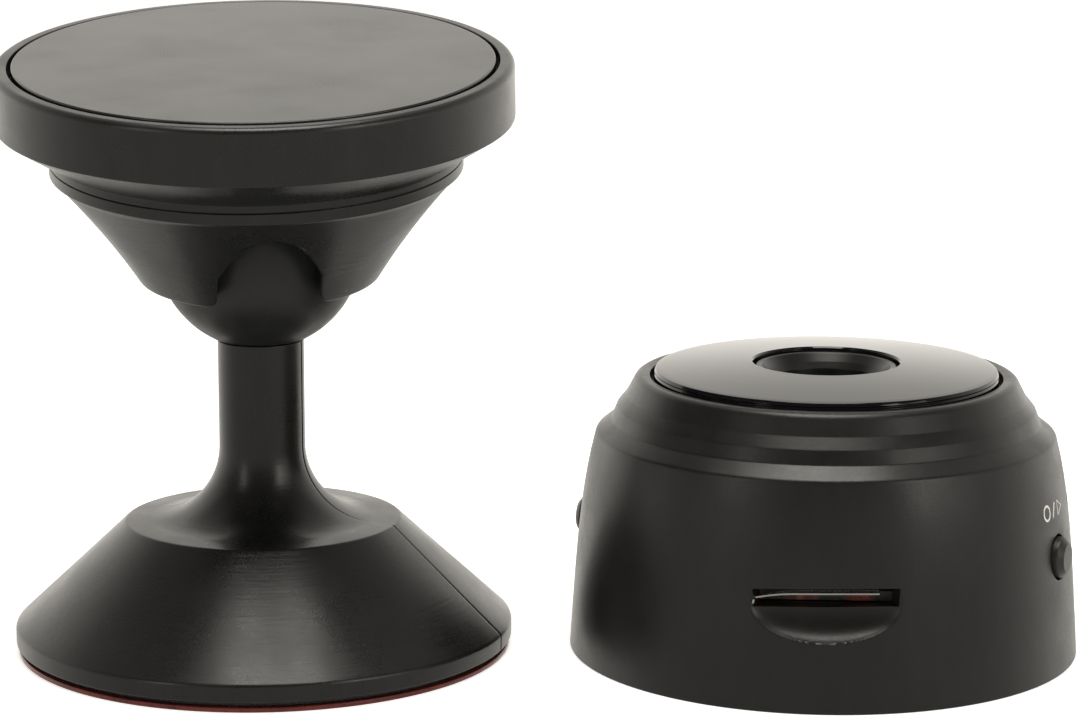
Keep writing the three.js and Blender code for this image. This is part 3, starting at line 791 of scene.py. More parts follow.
class DASHCAM_OT_foot(bpy.types.Operator):
    """Make the foot and post, its adhesive pad and the pad's red release film"""

    bl_idname = "dashcam.foot"
    bl_label = "Foot and post"

    def execute(self, context):
        given = context.scene.dashcam_stand
        line = (given.line_turn, LINE_DEPTH, given.line_width, LINE_CROWDING)
        surface = finish("stand_black")
        foot = turned("foot_and_post", foot_section(), AT_STAND, surface, FOOT_SIDES, line)
        settle(foot, "stand", "stand_black", "stand_base")
        film_top = 0.42
        low = film_top + 0.02
        high = box_mm("adhesive_pad")[1].z
        radius = radius_mm("adhesive_pad")
        pad_edge = rounded(
            [
                (0, low, 0),
                (radius, low, 0.12),
                (radius - 0.08, (low + high) / 2, 0.2),
                (radius, high, 0.12),
                (0, high, 0),
            ]
        )
        pad = turned("foam_pad", pad_edge, AT_STAND, finish("pad_foam"))
        settle(pad, "stand", "pad_foam", "adhesive_pad")
        low = box_mm("pad_liner")[0].z
        radius = radius_mm("pad_liner") + 0.2
        film_edge = rounded(
            [(0, low, 0), (radius, low, 0.1), (radius, film_top, 0.1), (0, film_top, 0)]
        )
        film = turned("release_film", film_edge, AT_STAND, finish("liner_red"))
        settle(film, "stand", "liner_red", "pad_liner")
        return {"FINISHED"}


class DASHCAM_OT_ball(bpy.types.Operator):
    """Make the ball with the hole that takes the post's end"""

    bl_idname = "dashcam.ball"
    bl_label = "Ball"

    def execute(self, context):
        bore = 2.45
        depth = -BALL_CUT + 4.95
        edge = math.degrees(math.asin(-BALL_CUT / BALL_R))
        inside = rounded([(0, depth, 0), (bore, depth, 0.1), (bore, -BALL_CUT, 0.1)])
        points = inside[:-1] + [(bore, -BALL_CUT)] + arc((0, 0), BALL_R, edge + 0.6, 90, 90)
        place = Matrix.Translation(PIVOT)
        ball = turned("ball_joint_ball", points, place, finish("ball_black"))
        settle(ball, "ball_swivel", "ball_black", "ball")
        return {"FINISHED"}


LIP = -2.31             # lower edge of the head's funnel, from the ball's centre
RING = 7.0              # height where the funnel ends and the collar starts
SOCKET_R = 9.0
SEAT_HOLE_R = 5.0


def cone_radius(height):
    """Outside radius of the head's funnel, which flares like a trumpet."""
    low = height - LIP
    return 10.17 + 0.6 * low + 0.0145 * low * low


def arch_drop(across):
    """How far the notch's arch falls below its top at a distance from its middle."""
    return 0.18 * across**2 + 0.0032 * across**4


def notch_outline(half, top, corner=0.9):
    """The notch's edge seen from the front, from its left corner over the arch to its right."""
    left = arc((-half - corner, LIP + corner), corner, -90, 0, 9)
    start = LIP + corner
    foot = top - arch_drop(half)
    side = [(-half, start + (foot - start) * k / 12) for k in range(1, 12)]
    over = []
    for k in range(37):
        across = half * math.cos(math.pi / 2 * k / 36)
        over.append((-across, top - arch_drop(across)))
    first = left + side + over
    second = [(-x, z) for x, z in reversed(first[:-1])]
    return np.array(first + second)


def head_columns(half, top):
    """Sections of the head shell side by side, bent round the notch's edge."""
    notch = notch_outline(half, top)
    rest = 260
    widest = math.radians(38)
    run = np.r_[0, np.cumsum(np.linalg.norm(np.diff(notch, axis=0), axis=1))]
    top_turn = np.interp(run, [0, run[-1]], [-widest, widest])
    outer_turn = np.arcsin(notch[:, 0] / cone_radius(notch[:, 1]))
    inner_r = np.sqrt(SOCKET_R**2 - notch[:, 1] ** 2)
    inner_turn = np.arcsin(notch[:, 0] / inner_r)
    height = notch[:, 1]

    def all_round(turns):
        """Adds the even turns that go round the back of the head."""
        back = np.linspace(turns[-1], 2 * math.pi + turns[0], rest + 2)[1:-1]
        return np.r_[turns, back]

    top_turn = all_round(top_turn)
    outer_turn = all_round(outer_turn)
    inner_turn = all_round(inner_turn)
    height = np.r_[height, np.full(rest, LIP)]
    fillet = 0.22
    columns = []
    upper = head_upper()
    for turn, out, inn, edge in zip(top_turn, outer_turn, inner_turn, height):
        columns.append(head_column(turn, out, inn, edge, fillet, upper))
    return columns


def on_cone(turn, height):
    """A point on the outside of the head's funnel."""
    return np.array(around(cone_radius(height), turn, height))


def on_socket(turn, height):
    """A point on the inside of the ball's socket."""
    return np.array(around(math.sqrt(SOCKET_R**2 - height**2), turn, height))


def bend(start, corner, end, steps=5):
    """Points of a smooth bend from start to end round a corner, without its ends."""
    points = []
    for k in range(1, steps):
        t = k / steps
        points.append((1 - t) ** 2 * start + 2 * t * (1 - t) * corner + t * t * end)
    return points


def head_column(turn, out, inn, edge, fillet, upper):
    """One section: up the socket, round the rim and down the outside to the lower edge."""
    seat_z = math.sqrt(SOCKET_R**2 - SEAT_HOLE_R**2)
    outer_edge = on_cone(out, edge)
    inner_edge = on_socket(inn, edge)
    across = inner_edge - outer_edge
    across /= np.linalg.norm(across)
    up, down = 14, 20
    inside = [
        on_socket(inn + (turn - inn) * k / up, edge + (seat_z - edge) * k / up)
        for k in range(up + 1)
    ]
    outside = [
        on_cone(turn + (out - turn) * k / down, RING + (edge - RING) * k / down)
        for k in range(down + 1)
    ]

    def back_from(edge_point, path, distance):
        """The point at a distance from the edge, towards a point of the path."""
        step = path - edge_point
        return edge_point + step / np.linalg.norm(step) * distance

    inner_start = back_from(inner_edge, inside[1], fillet * 0.5)
    outer_start = back_from(outer_edge, outside[-2], fillet)
    rows = [inner_start] + inside[1:]
    rows += [np.array(around(radius, turn, height)) for radius, height in upper]
    rows += outside[:-1] + [outer_start]
    outer_end = outer_edge + across * fillet
    inner_end = inner_edge - across * fillet * 0.5
    rows += bend(outer_start, outer_edge, outer_end)
    rows += [outer_end, (outer_end + inner_end) / 2, inner_end]
    rows += bend(inner_end, inner_edge, inner_start)
    return rows


def head_upper():
    """The shell above the funnel: seat hole, magnet recess, rim, wall and chamfer."""
    corners = [
        (SEAT_HOLE_R, math.sqrt(SOCKET_R**2 - SEAT_HOLE_R**2), 0),
        (SEAT_HOLE_R, 9.7, 0.15),
        (16.2, 9.7, 0.2),
        (16.2, 10.4, 0.2),
        (18.4, 12.7, 0.3),
        (18.4, 14.6, 0.1),
        (20.4, 14.6, 0.1),
        (20.4, 16.2, 0.08),
        (HEAD_R - 0.06, 16.2, 0.8),
        (HEAD_R, 11.5, 0.12),
        (17.32, 8.7, 0.12),
        (17.3, 8.14, 0.04),
        (17.12, 8.06, 0.03),
        (17.3, 7.98, 0.04),
        (17.3, 7.08, 0.12),
        (cone_radius(RING), RING, 0),
    ]
    return rounded(corners)[1:-1]


class DASHCAM_OT_head(bpy.types.Operator):
    """Make the magnetic head: the shell with its notch, and the flat contact disc"""

    bl_idname = "dashcam.head"
    bl_label = "Magnetic head"

    def execute(self, context):
        given = context.scene.dashcam_stand
        columns = head_columns(given.notch_half, given.notch_top)
        place = AT_HEAD @ Matrix.Rotation(NOTCH_TURN, 4, "Z")
        shell = lattice("magnetic_head_shell", columns, place)
        coat(shell, "stand_black")
        settle(shell, "magnet_head", "stand_black", "head_shell")
        edge = rounded([(0, 14.9, 0), (COVER_R, 14.9, 0.1), (COVER_R, 16.3, 0.14), (0, 16.3, 0)])
        cover = turned("contact_disc", edge, AT_HEAD, finish("cover_satin"))
        settle(cover, "magnet_head", "cover_satin", "head_cover_disc")
        return {"FINISHED"}


# ---- Pieces of the camera ------------------------------------------------------------------------


SHOULDER = 18.75        # top of the tapered wall
WALL_TAPER = 0.066
WALL_CURVE = 7.9e-6
SCREWS = [middle_mm(f"case_screw_{i + 1}") for i in range(4)]
SCREW_PLACES = [(screw.x - CAMERA_X, screw.y - CAMERA_Y) for screw in SCREWS]


def turn_of(node):
    """A node's turn about the lens axis, from the front towards the right."""
    place = middle_mm(node) - Vector((CAMERA_X, CAMERA_Y, 0))
    return math.atan2(place.x, -place.y)


def wall_radius(height):
    """Outside radius of the housing's tapered wall."""
    return HOUSING_R - WALL_TAPER * height - WALL_CURVE * height**4


SLOT_TURN = turn_of("card_socket_shell")
SLOT_BOTTOM = 8.7
SLOT_TOP = 10.25
SCOOP_HEIGHT = 2.85


def housing_outside():
    """The stepped outside of the housing, from its lower edge to the panel's recess."""
    return [
        (20.35, 0, 0.05),
        (HOUSING_R, 0, 0.12),
        (wall_radius(SHOULDER), SHOULDER, 0.4),
        (18.22, 19.75, 0.3),
        (17.75, 20.9, 0.35),
        (16.98, 21.85, 0.3),
        (16.05, 23.64, 0.85),
        (14.95, 23.55, 0.1),
    ]


def scoop_dent(radius, height, turn, half, depth):
    """How deep the thumbnail scoop is at a point of the section, for a turn from the slot."""
    wall = wall_radius(height)
    if radius <= wall - 0.3 or not SLOT_BOTTOM - 3.2 < height < SLOT_TOP:
        return 0.0
    across = turn if turn < math.pi else turn - 2 * math.pi
    bowl = 1 - (wall * across / half) ** 2
    bowl -= ((min(height, SLOT_BOTTOM) - SLOT_BOTTOM) / SCOOP_HEIGHT) ** 2
    bowl = (bowl + math.sqrt(bowl * bowl + 0.0025)) / 2
    fade = min(1.0, max(0.0, (SLOT_TOP - 0.3 - height) / 0.9))
    soft = 1.0 if bowl > 0.03 else (bowl / 0.03) ** 2
    return depth * bowl**0.62 * fade * soft


def housing_columns(width, depth):
    """Sections of the housing, close together across the scoop, which dents the wall."""
    corners = housing_outside() + [
        (14.95, 22.45, 0.08), (13.4, 22.45, 0.08), (13.4, 20.35, 0.08), (14.6, 20.35, 0.05),
        (14.6, 19.4, 0.05), (16.2, 19.4, 0.05), (16.2, 17.2, 0.05), (17.95, 17.2, 0.05),
        (19.8, 1.7, 0.05), (20.3, 1.7, 0.05),
    ]
    section = np.array(rounded(corners, closed=True))
    wall = (section[:, 0] > wall_radius(SHOULDER)) & (section[:, 1] < SHOULDER)
    start = max(i for i in np.flatnonzero(wall) if section[i, 1] < 1.0)
    low, high = section[start], section[start + 1]
    bands = [2.0, 3.5, 5.0, *np.arange(5.3, 9.0, 0.08), 9.4, 9.9, 10.4, 11.2, 12.5, 14, 15.5, 16.8]
    extra = [low + (high - low) * (z - low[1]) / (high[1] - low[1]) for z in bands if z < high[1]]
    section = np.vstack([section[: start + 1], extra, section[start + 1 :]])
    chord = HOUSING_R + (wall_radius(SHOULDER) - HOUSING_R) * section[:, 1] / SHOULDER
    bowed = (section[:, 0] > chord - 0.3) & (section[:, 1] < SHOULDER)
    section[:, 0] += np.where(bowed, wall_radius(section[:, 1]) - chord, 0.0)
    fine = np.arange(-20, 20, 0.2)
    coarse = np.arange(20, 340, 1.25)
    half = width / 2 + 0.05
    columns = []
    for turn in np.radians(np.r_[fine, coarse]):
        column = []
        for radius, height in section:
            dent = scoop_dent(radius, height, turn, half, depth)
            column.append(around(radius - dent, SLOT_TURN + turn, height))
        columns.append(column)
    return columns


def circle_outline(radius, height, count=48):
    """An opening's outline as a function of how far it is spread."""

    def spread(amount):
        """The outline's points, moved outwards by an amount."""
        return arc((0, height), radius + amount, 0, 360, count)[:-1]

    return spread


def slot_outline(half, low, high, corner, sag=0.0):
    """A rounded, slightly sagging rectangle's outline as a function of how far it is spread."""

    def spread(amount):
        """The outline's points, moved outwards by an amount."""
        points = []
        for quarter, (side, level) in enumerate(((1, high), (-1, high), (-1, low), (1, low))):
            centre = (side * (half - corner), level - corner if level == high else level + corner)
            points += arc(centre, corner + amount, 90 * quarter, 90 * quarter + 90, 5)
            if quarter % 2 == 0:
                start = points[-1]
                for k in range(1, 30):
                    points.append((start[0] * (1 - k / 15), start[1]))
        middle = (low + high) / 2
        bent = []
        for x, z in points:
            off = (x / half) ** 2
            drop = sag * off if z > middle else 1.5 * sag - 0.9 * sag * off
            bent.append((x, z - drop + 0.6 * sag * x / half))
        return bent

    return spread


def wall_cutter(outline, turn, through=4.0, edge=0.12):
    """A closed tool that cuts an opening square to the tapered wall and rounds its edge."""
    layers = [(-1.5, edge), (0.0, edge)]
    for k in range(1, 5):
        angle = math.pi / 2 * k / 4
        layers.append((edge * (1 - math.cos(angle)), edge * (1 - math.sin(angle))))
    layers.append((through, 0.0))
    made = bmesh.new()
    rings = []
    for depth, spread in layers:
        ring = []
        for across, height in outline(spread):
            radius = wall_radius(height)
            ring.append(made.verts.new(around(radius - depth, turn + across / radius, height)))
        rings.append(ring)
    for lower, upper in zip(rings, rings[1:]):
        for k, corner in enumerate(lower):
            following = (k + 1) % len(lower)
            made.faces.new((corner, lower[following], upper[following], upper[k]))
    for ring in (rings[0], rings[-1]):
        middle = made.verts.new(sum((v.co for v in ring), Vector()) / len(ring))
        for k, corner in enumerate(ring):
            made.faces.new((corner, ring[(k + 1) % len(ring)], middle))
    bmesh.ops.recalc_face_normals(made, faces=made.faces)
    return keep("cutter", made, AT_CAMERA)


def post_tool(name, radius, low, high):
    """Upright round bars at the four screws, as one tool."""
    made = bmesh.new()
    for x, y in SCREW_PLACES:
        bar = bmesh.ops.create_cone(
            made,
            cap_ends=True,
            segments=SMALL_ROUND // 2,
            radius1=radius,
            radius2=radius,
            depth=high - low,
        )
        bmesh.ops.translate(made, verts=bar["verts"], vec=(x, y, (low + high) / 2))
    return keep(name, made, AT_CAMERA)


def carve(piece, tools, operation="DIFFERENCE", sharp=30):
    """Cuts tools out of a piece, or joins them on, and keeps crisp edges crisp."""
    for tool in tools:
        modifier = piece.modifiers.new("carve", "BOOLEAN")
        modifier.operation = operation
        modifier.solver = "EXACT"
        modifier.object = tool
        graph = bpy.context.evaluated_depsgraph_get()
        mesh = bpy.data.meshes.new_from_object(piece.evaluated_get(graph), depsgraph=graph)
        piece.modifiers.remove(modifier)
        piece.data = mesh
        bpy.data.objects.remove(tool)
    piece.data.polygons.foreach_set("use_smooth", [True] * len(piece.data.polygons))
    piece.data.set_sharp_from_angle(angle=math.radians(sharp))
    piece.data.update()


class DASHCAM_OT_housing(bpy.types.Operator):
    """Make the stepped housing with its card slot, scoop and openings"""

    bl_idname = "dashcam.housing"
    bl_label = "Housing"

    def execute(self, context):
        given = context.scene.dashcam_camera
        columns = housing_columns(given.slot_width, given.scoop_depth)
        housing = lattice("stepped_housing", columns, AT_CAMERA)
        button_z = middle_mm("mode_button").z
        microphone = middle_mm("microphone")
        usb_low, usb_high = box_mm("usb_shell")
        bosses = post_tool("bosses", 1.9, 7.9, 19.2)
        carve(housing, [bosses], "UNION")
        pilots = post_tool("pilots", 0.85, 7.0, 12.8)
        card_slot = slot_outline(given.slot_width / 2, SLOT_BOTTOM, SLOT_TOP, 0.12, 0.17)
        button_hole = circle_outline(1.92, button_z)
        usb_opening = slot_outline(4.1, usb_low.z - 0.3, usb_high.z + 0.3, 0.8)
        tools = [
            pilots,
            wall_cutter(card_slot, SLOT_TURN, edge=0.07),
            wall_cutter(button_hole, turn_of("mode_button")),
            wall_cutter(button_hole, turn_of("power_button")),
            wall_cutter(circle_outline(0.6, microphone.z, 32), turn_of("microphone"), edge=0.08),
            wall_cutter(circle_outline(0.6, button_z, 32), turn_of("reset_switch"), edge=0.08),
            wall_cutter(usb_opening, turn_of("usb_shell")),
        ]
        carve(housing, tools)
        coat(housing, "camera_black")
        settle(housing, "camera", "camera_black", "housing_shell")
        return {"FINISHED"}


class DASHCAM_OT_back(bpy.types.Operator):
    """Make the back cover with its screw pillars"""

    bl_idname = "dashcam.back"
    bl_label = "Back cover"

    def execute(self, context):
        pillar_top = box_mm("back_cover")[1].z
        radius = radius_mm("back_cover")
        top = 1.65
        edge = rounded([(0, 0, 0), (radius - 0.05, 0, 0.2), (radius, top, 0.05), (0, top, 0)])
        cover = turned("back_plate", edge, AT_CAMERA, finish("camera_black"))
        carve(cover, [post_tool("pillars", 1.9, 1.0, pillar_top)], "UNION")
        holes = post_tool("holes", 0.9, -1.0, 9.0)
        heads = post_tool("heads", 1.65, -1.0, 1.25)
        carve(cover, [holes, heads])
        coat(cover, "camera_black")
        settle(cover, "camera", "camera_black", "back_cover")
        return {"FINISHED"}


def panel_height(radius):
    """Height of the filter disc's shallow dome, which stands highest at the lens hole."""
    return PANEL_TOP + 0.15 - radius**2 / 268


class DASHCAM_OT_front(bpy.types.Operator):
    """Make the dark filter disc, the lens barrel and its glass"""

    bl_idname = "dashcam.front"
    bl_label = "Filter disc and lens"

    def execute(self, context):
        hole = 6.2
        edge = rounded(
            [
                (hole, 22.5, 0.05),
                (PANEL_R, 22.5, 0.05),
                (PANEL_R, 23.55, 0.04),
                (PANEL_R - 0.12, 23.72, 0.04),
                (PANEL_R - 0.02, 23.84, 0.04),
                (PANEL_R - 0.16, panel_height(PANEL_R), 0.08),
                *[(radius, panel_height(radius), 0) for radius in np.arange(14, 6.5, -0.5)],
                (hole + 0.12, panel_height(hole), 0.06),
                (hole, panel_height(hole) - 0.14, 0.05),
            ],
            closed=True,
        )
        panel = turned("filter_disc", edge + [edge[0]], AT_CAMERA, finish("panel_gloss"))
        settle(panel, "camera", "panel_gloss", "front_panel")
        barrel_edge = rounded(
            [
                (3.2, 10.7, 0.05),
                (5.6, 10.7, 0.05),
                (6.0, 11.1, 0.05),
                (6.0, LENS_TOP, 0.16),
                (5.5, LENS_TOP, 0.12),
                (4.95, 23.7, 0.25),
                (4.62, 23.15, 0.05),
                (4.62, 20.9, 0.05),
                (3.2, 20.9, 0.05),
            ],
            closed=True,
        )
        barrel = turned("lens_tube", barrel_edge + [barrel_edge[0]], AT_CAMERA, finish("lens_black"))
        settle(barrel, "camera", "lens_black", "lens_barrel")
        elements = (
            ("lens_front_element", "front_glass", 0.9),
            ("lens_rear_element", "rear_glass", 0.5),
        )
        for node, name, dome in elements:
            low, high = box_mm(node)
            radius = radius_mm(node)
            rim = high.z - dome
            sphere = (radius**2 + dome**2) / (2 * dome)
            centre = high.z - sphere
            start = math.degrees(math.asin((rim - centre) / sphere))
            points = [(0, low.z), (radius, low.z), *arc((0, centre), sphere, start, 90, 24)]
            glass = turned(name, points, AT_CAMERA, finish("lens_glass"), SMALL_ROUND)
            glass.data.set_sharp_from_angle(angle=math.radians(40))
            settle(glass, "camera", "lens_glass", node)
        return {"FINISHED"}


class DASHCAM_OT_buttons(bpy.types.Operator):
    """Make the two push buttons in the housing's wall"""

    bl_idname = "dashcam.buttons"
    bl_label = "Buttons"

    def execute(self, context):
        buttons = (
            ("mode_button", "mode_cap", "mode_key"),
            ("power_button", "power_cap", "power_key"),
        )
        for node, name, body in buttons:
            turn = turn_of(node)
            height = middle_mm(node).z
            face = 21.75
            edge = rounded(
                [
                    (0, 17.3, 0), (0.9, 17.3, 0.08), (0.9, 17.6, 0.05), (2.5, 17.6, 0.08),
                    (2.5, 18.15, 0.08), (1.74, 18.15, 0.05), (1.72, face - 0.45, 0.22),
                    (1.2, face - 0.02, 0.15), (0, face, 0),
                ]
            )
            place = (
                AT_CAMERA
                @ Matrix.Translation((0, 0, height))
                @ Matrix.Rotation(turn, 4, "Z")
                @ Matrix.Rotation(math.pi / 2, 4, "X")
            )
            cap = turned(name, edge, place, finish("button_black"), SMALL_ROUND)
            settle(cap, body, "button_black", node)
        return {"FINISHED"}


def stroke(name, path, width, thick, surface, closed=False):
    """A solid strip of even width along a path of (across, height) points on a surface."""
    made = bmesh.new()
    count = len(path)
    rings = []
    for k, (x, z) in enumerate(path):
        before = path[(k - 1) % count] if closed or k else path[0]
        after = path[(k + 1) % count] if closed or k < count - 1 else path[-1]
        along = Vector((after[0] - before[0], after[1] - before[1])).normalized()
        side = Vector((-along.y, along.x)) * width / 2
        ring = []
        for sign, depth in ((1, 0.0), (-1, 0.0), (-1, thick), (1, thick)):
            ring.append(made.verts.new(surface(x + sign * side.x, z + sign * side.y, depth)))
        rings.append(ring)
    following = rings[1:] + rings[:1] if closed else rings[1:]
    for first, second in zip(rings, following):
        for k in range(4):
            made.faces.new((first[k], first[(k + 1) % 4], second[(k + 1) % 4], second[k]))
    if not closed:
        made.faces.new(rings[0])
        made.faces.new(rings[-1])
    bmesh.ops.recalc_face_normals(made, faces=made.faces)
    return keep(name, made, AT_CAMERA)


def on_wall(turn, proud):
    """Makes points on the housing's wall about a turn, standing slightly proud of it."""

    def place(across, height, depth):
        """A point at a distance across, a height and a depth into the wall."""
        radius = wall_radius(height)
        return around(radius + proud - depth, turn + across / radius, height)

    return place


def in_slot(front):
    """Makes points behind the card slot, from a distance in front of the lens axis."""

    def place(across, height, depth):
        """A point at a distance across, a height and a depth behind the front."""
        return Matrix.Rotation(SLOT_TURN, 3, "Z") @ Vector((across, depth - front, height))

    return place


class DASHCAM_OT_details(bpy.types.Operator):
    """Make the printed mode marks and the card guide that shows in the slot"""

    bl_idname = "dashcam.details"
    bl_label = "Marks and card guide"

    def execute(self, context):
        wall = on_wall(turn_of("mode_button"), 0.012)
        ring = [(-1.95 + x, 13.95 + z) for x, z in arc((0, 0), 0.6, 0, 345, 24)]
        marks = {
            "mark_ring": (ring, True),
            "mark_bar": ([(-0.75, 13.35), (-0.15, 14.55)], False),
            "mark_arrow": ([(0.55, 13.35), (1.7, 13.95), (0.55, 14.55)], True),
        }
        for name, (path, closed) in marks.items():
            mark = stroke(name, path, 0.2, 0.05, wall, closed)
            coat(mark, "print_white")
            settle(mark, "camera", None)
        lip = [
            (-5.7, 9.06), (-5.2, 9.14), (-4.5, 9.25), (-3.7, 9.34), (-2.9, 9.38), (0, 9.42), (4.3, 9.5),
        ]
        tab = [(-5.87, 8.8), (-5.8, 9.12)]
        pins = [(-5.8, 9.05), (5.8, 9.05)]
        behind = (
            ("card_guide", lip, 0.13, 1.1, 19.3, "plated_steel", "plated_steel"),
            ("guide_cheek", tab, 0.16, 1.0, 20.2, "plated_steel", "plated_steel"),
            ("card_contacts", pins, 0.8, 0.3, 18.2, "contact_red", None),
        )
        for name, path, width, thick, front, coating, slot in behind:
            strip = stroke(name, path, width, thick, in_slot(front))
            coat(strip, coating)
            settle(strip, "camera", slot)
        return {"FINISHED"}


KEPT = {                # pieces inside that keep their CAD shape, and their finishes
    "ball_seat_pad": "pad_foam",
    "keeper_plate": "plated_steel",
    "head_magnet": "magnet_metal",
    "lens_holder": "insulator",
    "image_sensor": "chip_black",
    "main_board": "circuit_board",
    "processor_chip": "chip_black",
    "wifi_chip": "chip_black",
    "charger_chip": "chip_black",
    "card_socket_body": "insulator",
    "card_socket_shell": "plated_steel",
    "usb_shell": "plated_steel",
    "usb_tongue": "insulator",
    "mode_switch": "insulator",
    "power_switch": "insulator",
    "reset_switch": "insulator",
    "microphone": "plated_steel",
    "wifi_antenna": "antenna_copper",
    "ir_led_board": "circuit_board",
    "ir_board_ribbon": "insulator",
    "light_sensor": "lens_glass",
    "status_led": "led_resin",
    "battery_cell": "cell_foil",
    "battery_tape": "pad_foam",
    "battery_lead_positive": "wire_red",
    "battery_lead_negative": "wire_black",
    "back_magnet_1": "magnet_metal",
    "back_magnet_2": "magnet_metal",
}


class DASHCAM_OT_inside(bpy.types.Operator):
    """Finish the pieces inside that keep their CAD shape"""

    bl_idname = "dashcam.inside"
    bl_label = "Inside pieces"

    def execute(self, context):
        names = dict(KEPT)
        names.update({f"ir_led_{i + 1}": "led_resin" for i in range(6)})
        names.update({f"case_screw_{i + 1}": "plated_steel" for i in range(4)})
        for node, name in names.items():
            coat(frame["nodes"][node], name)
        return {"FINISHED"}


# ---- Stage ---------------------------------------------------------------------------------------


WARM = (1.0, 0.962, 0.892, 1.0)
WHITE = (1.0, 1.0, 1.0, 1.0)
LIT_POINT = (CAMERA_X / 2, 0, 20)
SOFTBOXES = (           # name, place, width, height and power
    ("left_softbox", (-370, -380, 230), 90, 300, 0.22),
    ("right_softbox", (420, -390, 240), 110, 320, 0.44),
    ("side_softbox", (510, -260, 200), 180, 320, 0.19),
    ("top_softbox", (CAMERA_X / 2, -50, 520), 270, 300, 1.75),
)
FLOOR_HALF = 1.6        # in metres
FLOOR_GLOW = 0.62
SEEN_WHITE = 1.3        # strength of the room where the camera sees it


def softbox(name, place, width, height, power):
    """A rectangular studio light that faces the middle of the scene."""
    data = bpy.data.lights.new(name, "AREA")
    data.shape = "RECTANGLE"
    data.size = width * MM
    data.size_y = height * MM
    data.energy = power
    data.color = WARM[:3]
    made = add_object(name, data)
    here = Vector(place) * MM
    there = Vector(LIT_POINT) * MM
    made.location = here
    made.rotation_euler = (there - here).to_track_quat("-Z", "Y").to_euler()


def studio_world():
    """A white room that is darker on the side the camera looks from."""
    world = bpy.data.worlds.new("white_room")
    world.use_nodes = True
    nodes, links = world.node_tree.nodes, world.node_tree.links
    nodes.clear()

    def add(kind, inputs=(), **settings):
        """Adds a node, sets it up and links or fills its inputs."""
        made = nodes.new(kind)
        for key, value in settings.items():
            setattr(made, key, value)
        fill(links, made, inputs)
        return made

    def times(first, second):
        """The product of two values."""
        return add("ShaderNodeMath", {0: first, 1: second}, operation="MULTIPLY").outputs[0]

    def smooth(value, low, high, to_low, to_high):
        """Eases from one value to another as the direction crosses a range."""
        given = {
            "Value": value,
            "From Min": low,
            "From Max": high,
            "To Min": to_low,
            "To Max": to_high,
        }
        return add("ShaderNodeMapRange", given, interpolation_type="SMOOTHSTEP").outputs[0]

    coords = add("ShaderNodeTexCoord")
    parts = add("ShaderNodeSeparateXYZ", {0: coords.outputs["Generated"]})
    depth, height = parts.outputs["Y"], parts.outputs["Z"]
    front = smooth(height, 0.1, 0.36, 0.45, 0.1)
    ground = smooth(height, -0.5, -0.08, 0.3, 1.0)
    back = times(ground, smooth(depth, -0.45, 0.88, 0.0, 1.0))
    room = add("ShaderNodeMath", {0: front, 1: back}, operation="ADD").outputs[0]
    backdrop = smooth(height, 0.5, 0.62, 1.0, 0.45)
    ceiling = smooth(height, 0.75, 0.97, 1.0, 1.6)
    light = times(times(room, backdrop), ceiling)
    direct = add("ShaderNodeLightPath").outputs["Is Camera Ray"]
    strength = add("ShaderNodeMix", {0: direct, 2: light, 3: SEEN_WHITE})
    tint = add("ShaderNodeMix", {0: direct, 6: WARM, 7: WHITE}, data_type="RGBA")
    background = add(
        "ShaderNodeBackground", {"Color": tint.outputs[2], "Strength": strength.outputs[0]}
    )
    add("ShaderNodeOutputWorld", {"Surface": background.outputs[0]})
    bpy.context.scene.world = world


def white_floor():
    """A pale floor, lit from below as a light table is."""
    made = Finish("white_floor", Base_Color=(0.86, 0.86, 0.86, 1), Roughness=0.9)
    made.shader.inputs["Specular IOR Level"].default_value = 0.0
    made.shader.inputs["Emission Color"].default_value = WHITE
    made.shader.inputs["Emission Strength"].default_value = FLOOR_GLOW
    return made.material


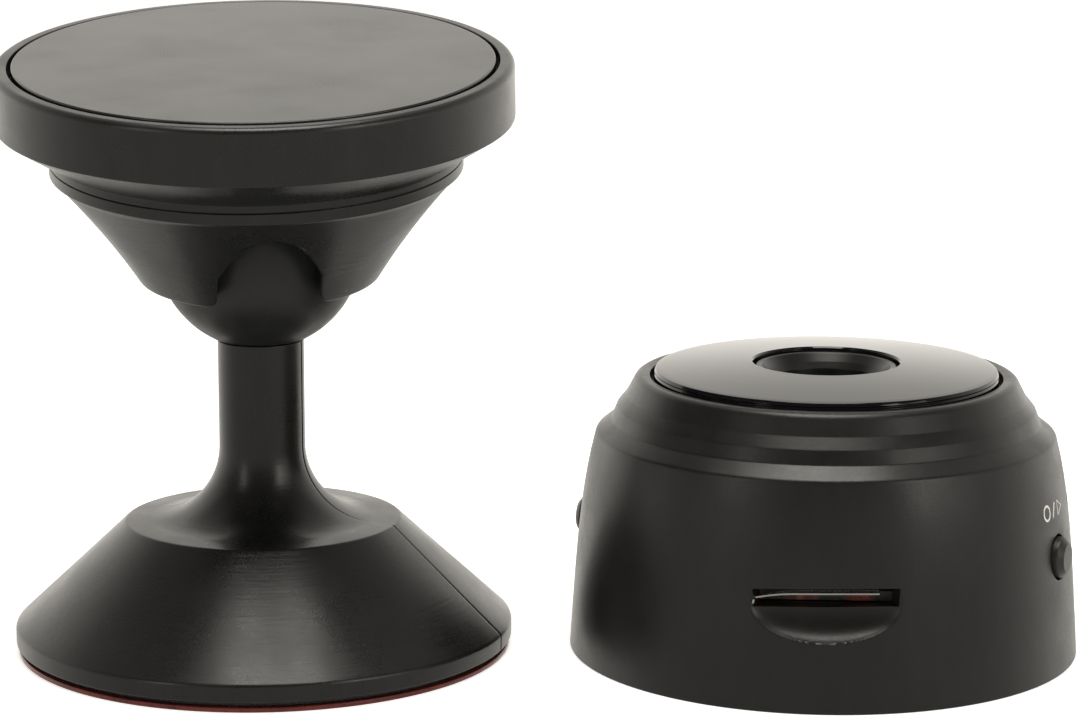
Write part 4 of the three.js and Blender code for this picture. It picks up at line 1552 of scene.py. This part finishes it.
class DASHCAM_OT_stage(bpy.types.Operator):
    """Make the pale floor, the soft studio light and the camera"""

    bl_idname = "dashcam.stage"
    bl_label = "Stage"

    def execute(self, context):
        given = context.scene.dashcam_stage
        mesh = bpy.data.meshes.new("floor")
        sides = ((-1, -1), (1, -1), (1, 1), (-1, 1))
        corners = [(x * FLOOR_HALF, y * FLOOR_HALF, 0) for x, y in sides]
        mesh.from_pydata(corners, [], [(0, 1, 2, 3)])
        mesh.materials.append(white_floor())
        floor = add_object("floor", mesh)
        floor.visible_glossy = False
        studio_world()
        for light in SOFTBOXES:
            softbox(*light)
        data = bpy.data.cameras.new("view")
        data.lens = given.lens
        data.sensor_width = 36
        camera = add_object("view", data)
        camera.location = (Vector(given.camera_place) + Vector((CAMERA_X, CAMERA_Y, 0))) * MM
        camera.rotation_euler = (math.pi / 2 - given.camera_pitch, 0, 0)
        context.scene.camera = camera
        context.scene.view_settings.view_transform = "Standard"
        return {"FINISHED"}


class DASHCAM_PT_panel(bpy.types.Panel):
    """The pieces of the camera and its stand"""

    bl_label = "Dash camera"
    bl_idname = "DASHCAM_PT_panel"
    bl_space_type = "VIEW_3D"
    bl_region_type = "UI"
    bl_category = "Dash Camera"

    def draw(self, context):
        for settings in ("dashcam_stand", "dashcam_camera", "dashcam_stage"):
            group = getattr(context.scene, settings)
            for name in group.bl_rna.properties.keys():
                if name not in ("rna_type", "name"):
                    self.layout.prop(group, name)
        for operator in OPERATORS:
            self.layout.operator(operator.bl_idname)


OPERATORS = (
    DASHCAM_OT_stage,
    DASHCAM_OT_foot,
    DASHCAM_OT_ball,
    DASHCAM_OT_head,
    DASHCAM_OT_housing,
    DASHCAM_OT_back,
    DASHCAM_OT_front,
    DASHCAM_OT_buttons,
    DASHCAM_OT_details,
    DASHCAM_OT_inside,
)
SETTINGS = {
    "dashcam_stand": StandSettings,
    "dashcam_camera": CameraSettings,
    "dashcam_stage": StageSettings,
}


def register():
    """Makes the settings, the operators and the panel known to Blender."""
    for group in SETTINGS.values():
        bpy.utils.register_class(group)
    for name, group in SETTINGS.items():
        setattr(bpy.types.Scene, name, PointerProperty(type=group))
    for operator in OPERATORS:
        bpy.utils.register_class(operator)
    bpy.utils.register_class(DASHCAM_PT_panel)


def unregister():
    """Takes back what register() made known."""
    bpy.utils.unregister_class(DASHCAM_PT_panel)
    for operator in reversed(OPERATORS):
        bpy.utils.unregister_class(operator)
    for name in SETTINGS:
        delattr(bpy.types.Scene, name)
    for group in SETTINGS.values():
        bpy.utils.unregister_class(group)


def main():
    """Makes every piece in turn."""
    register()
    for operator in OPERATORS:
        area, name = operator.bl_idname.split(".")
        getattr(getattr(bpy.ops, area), name)()


if __name__ == "__main__":
    main()
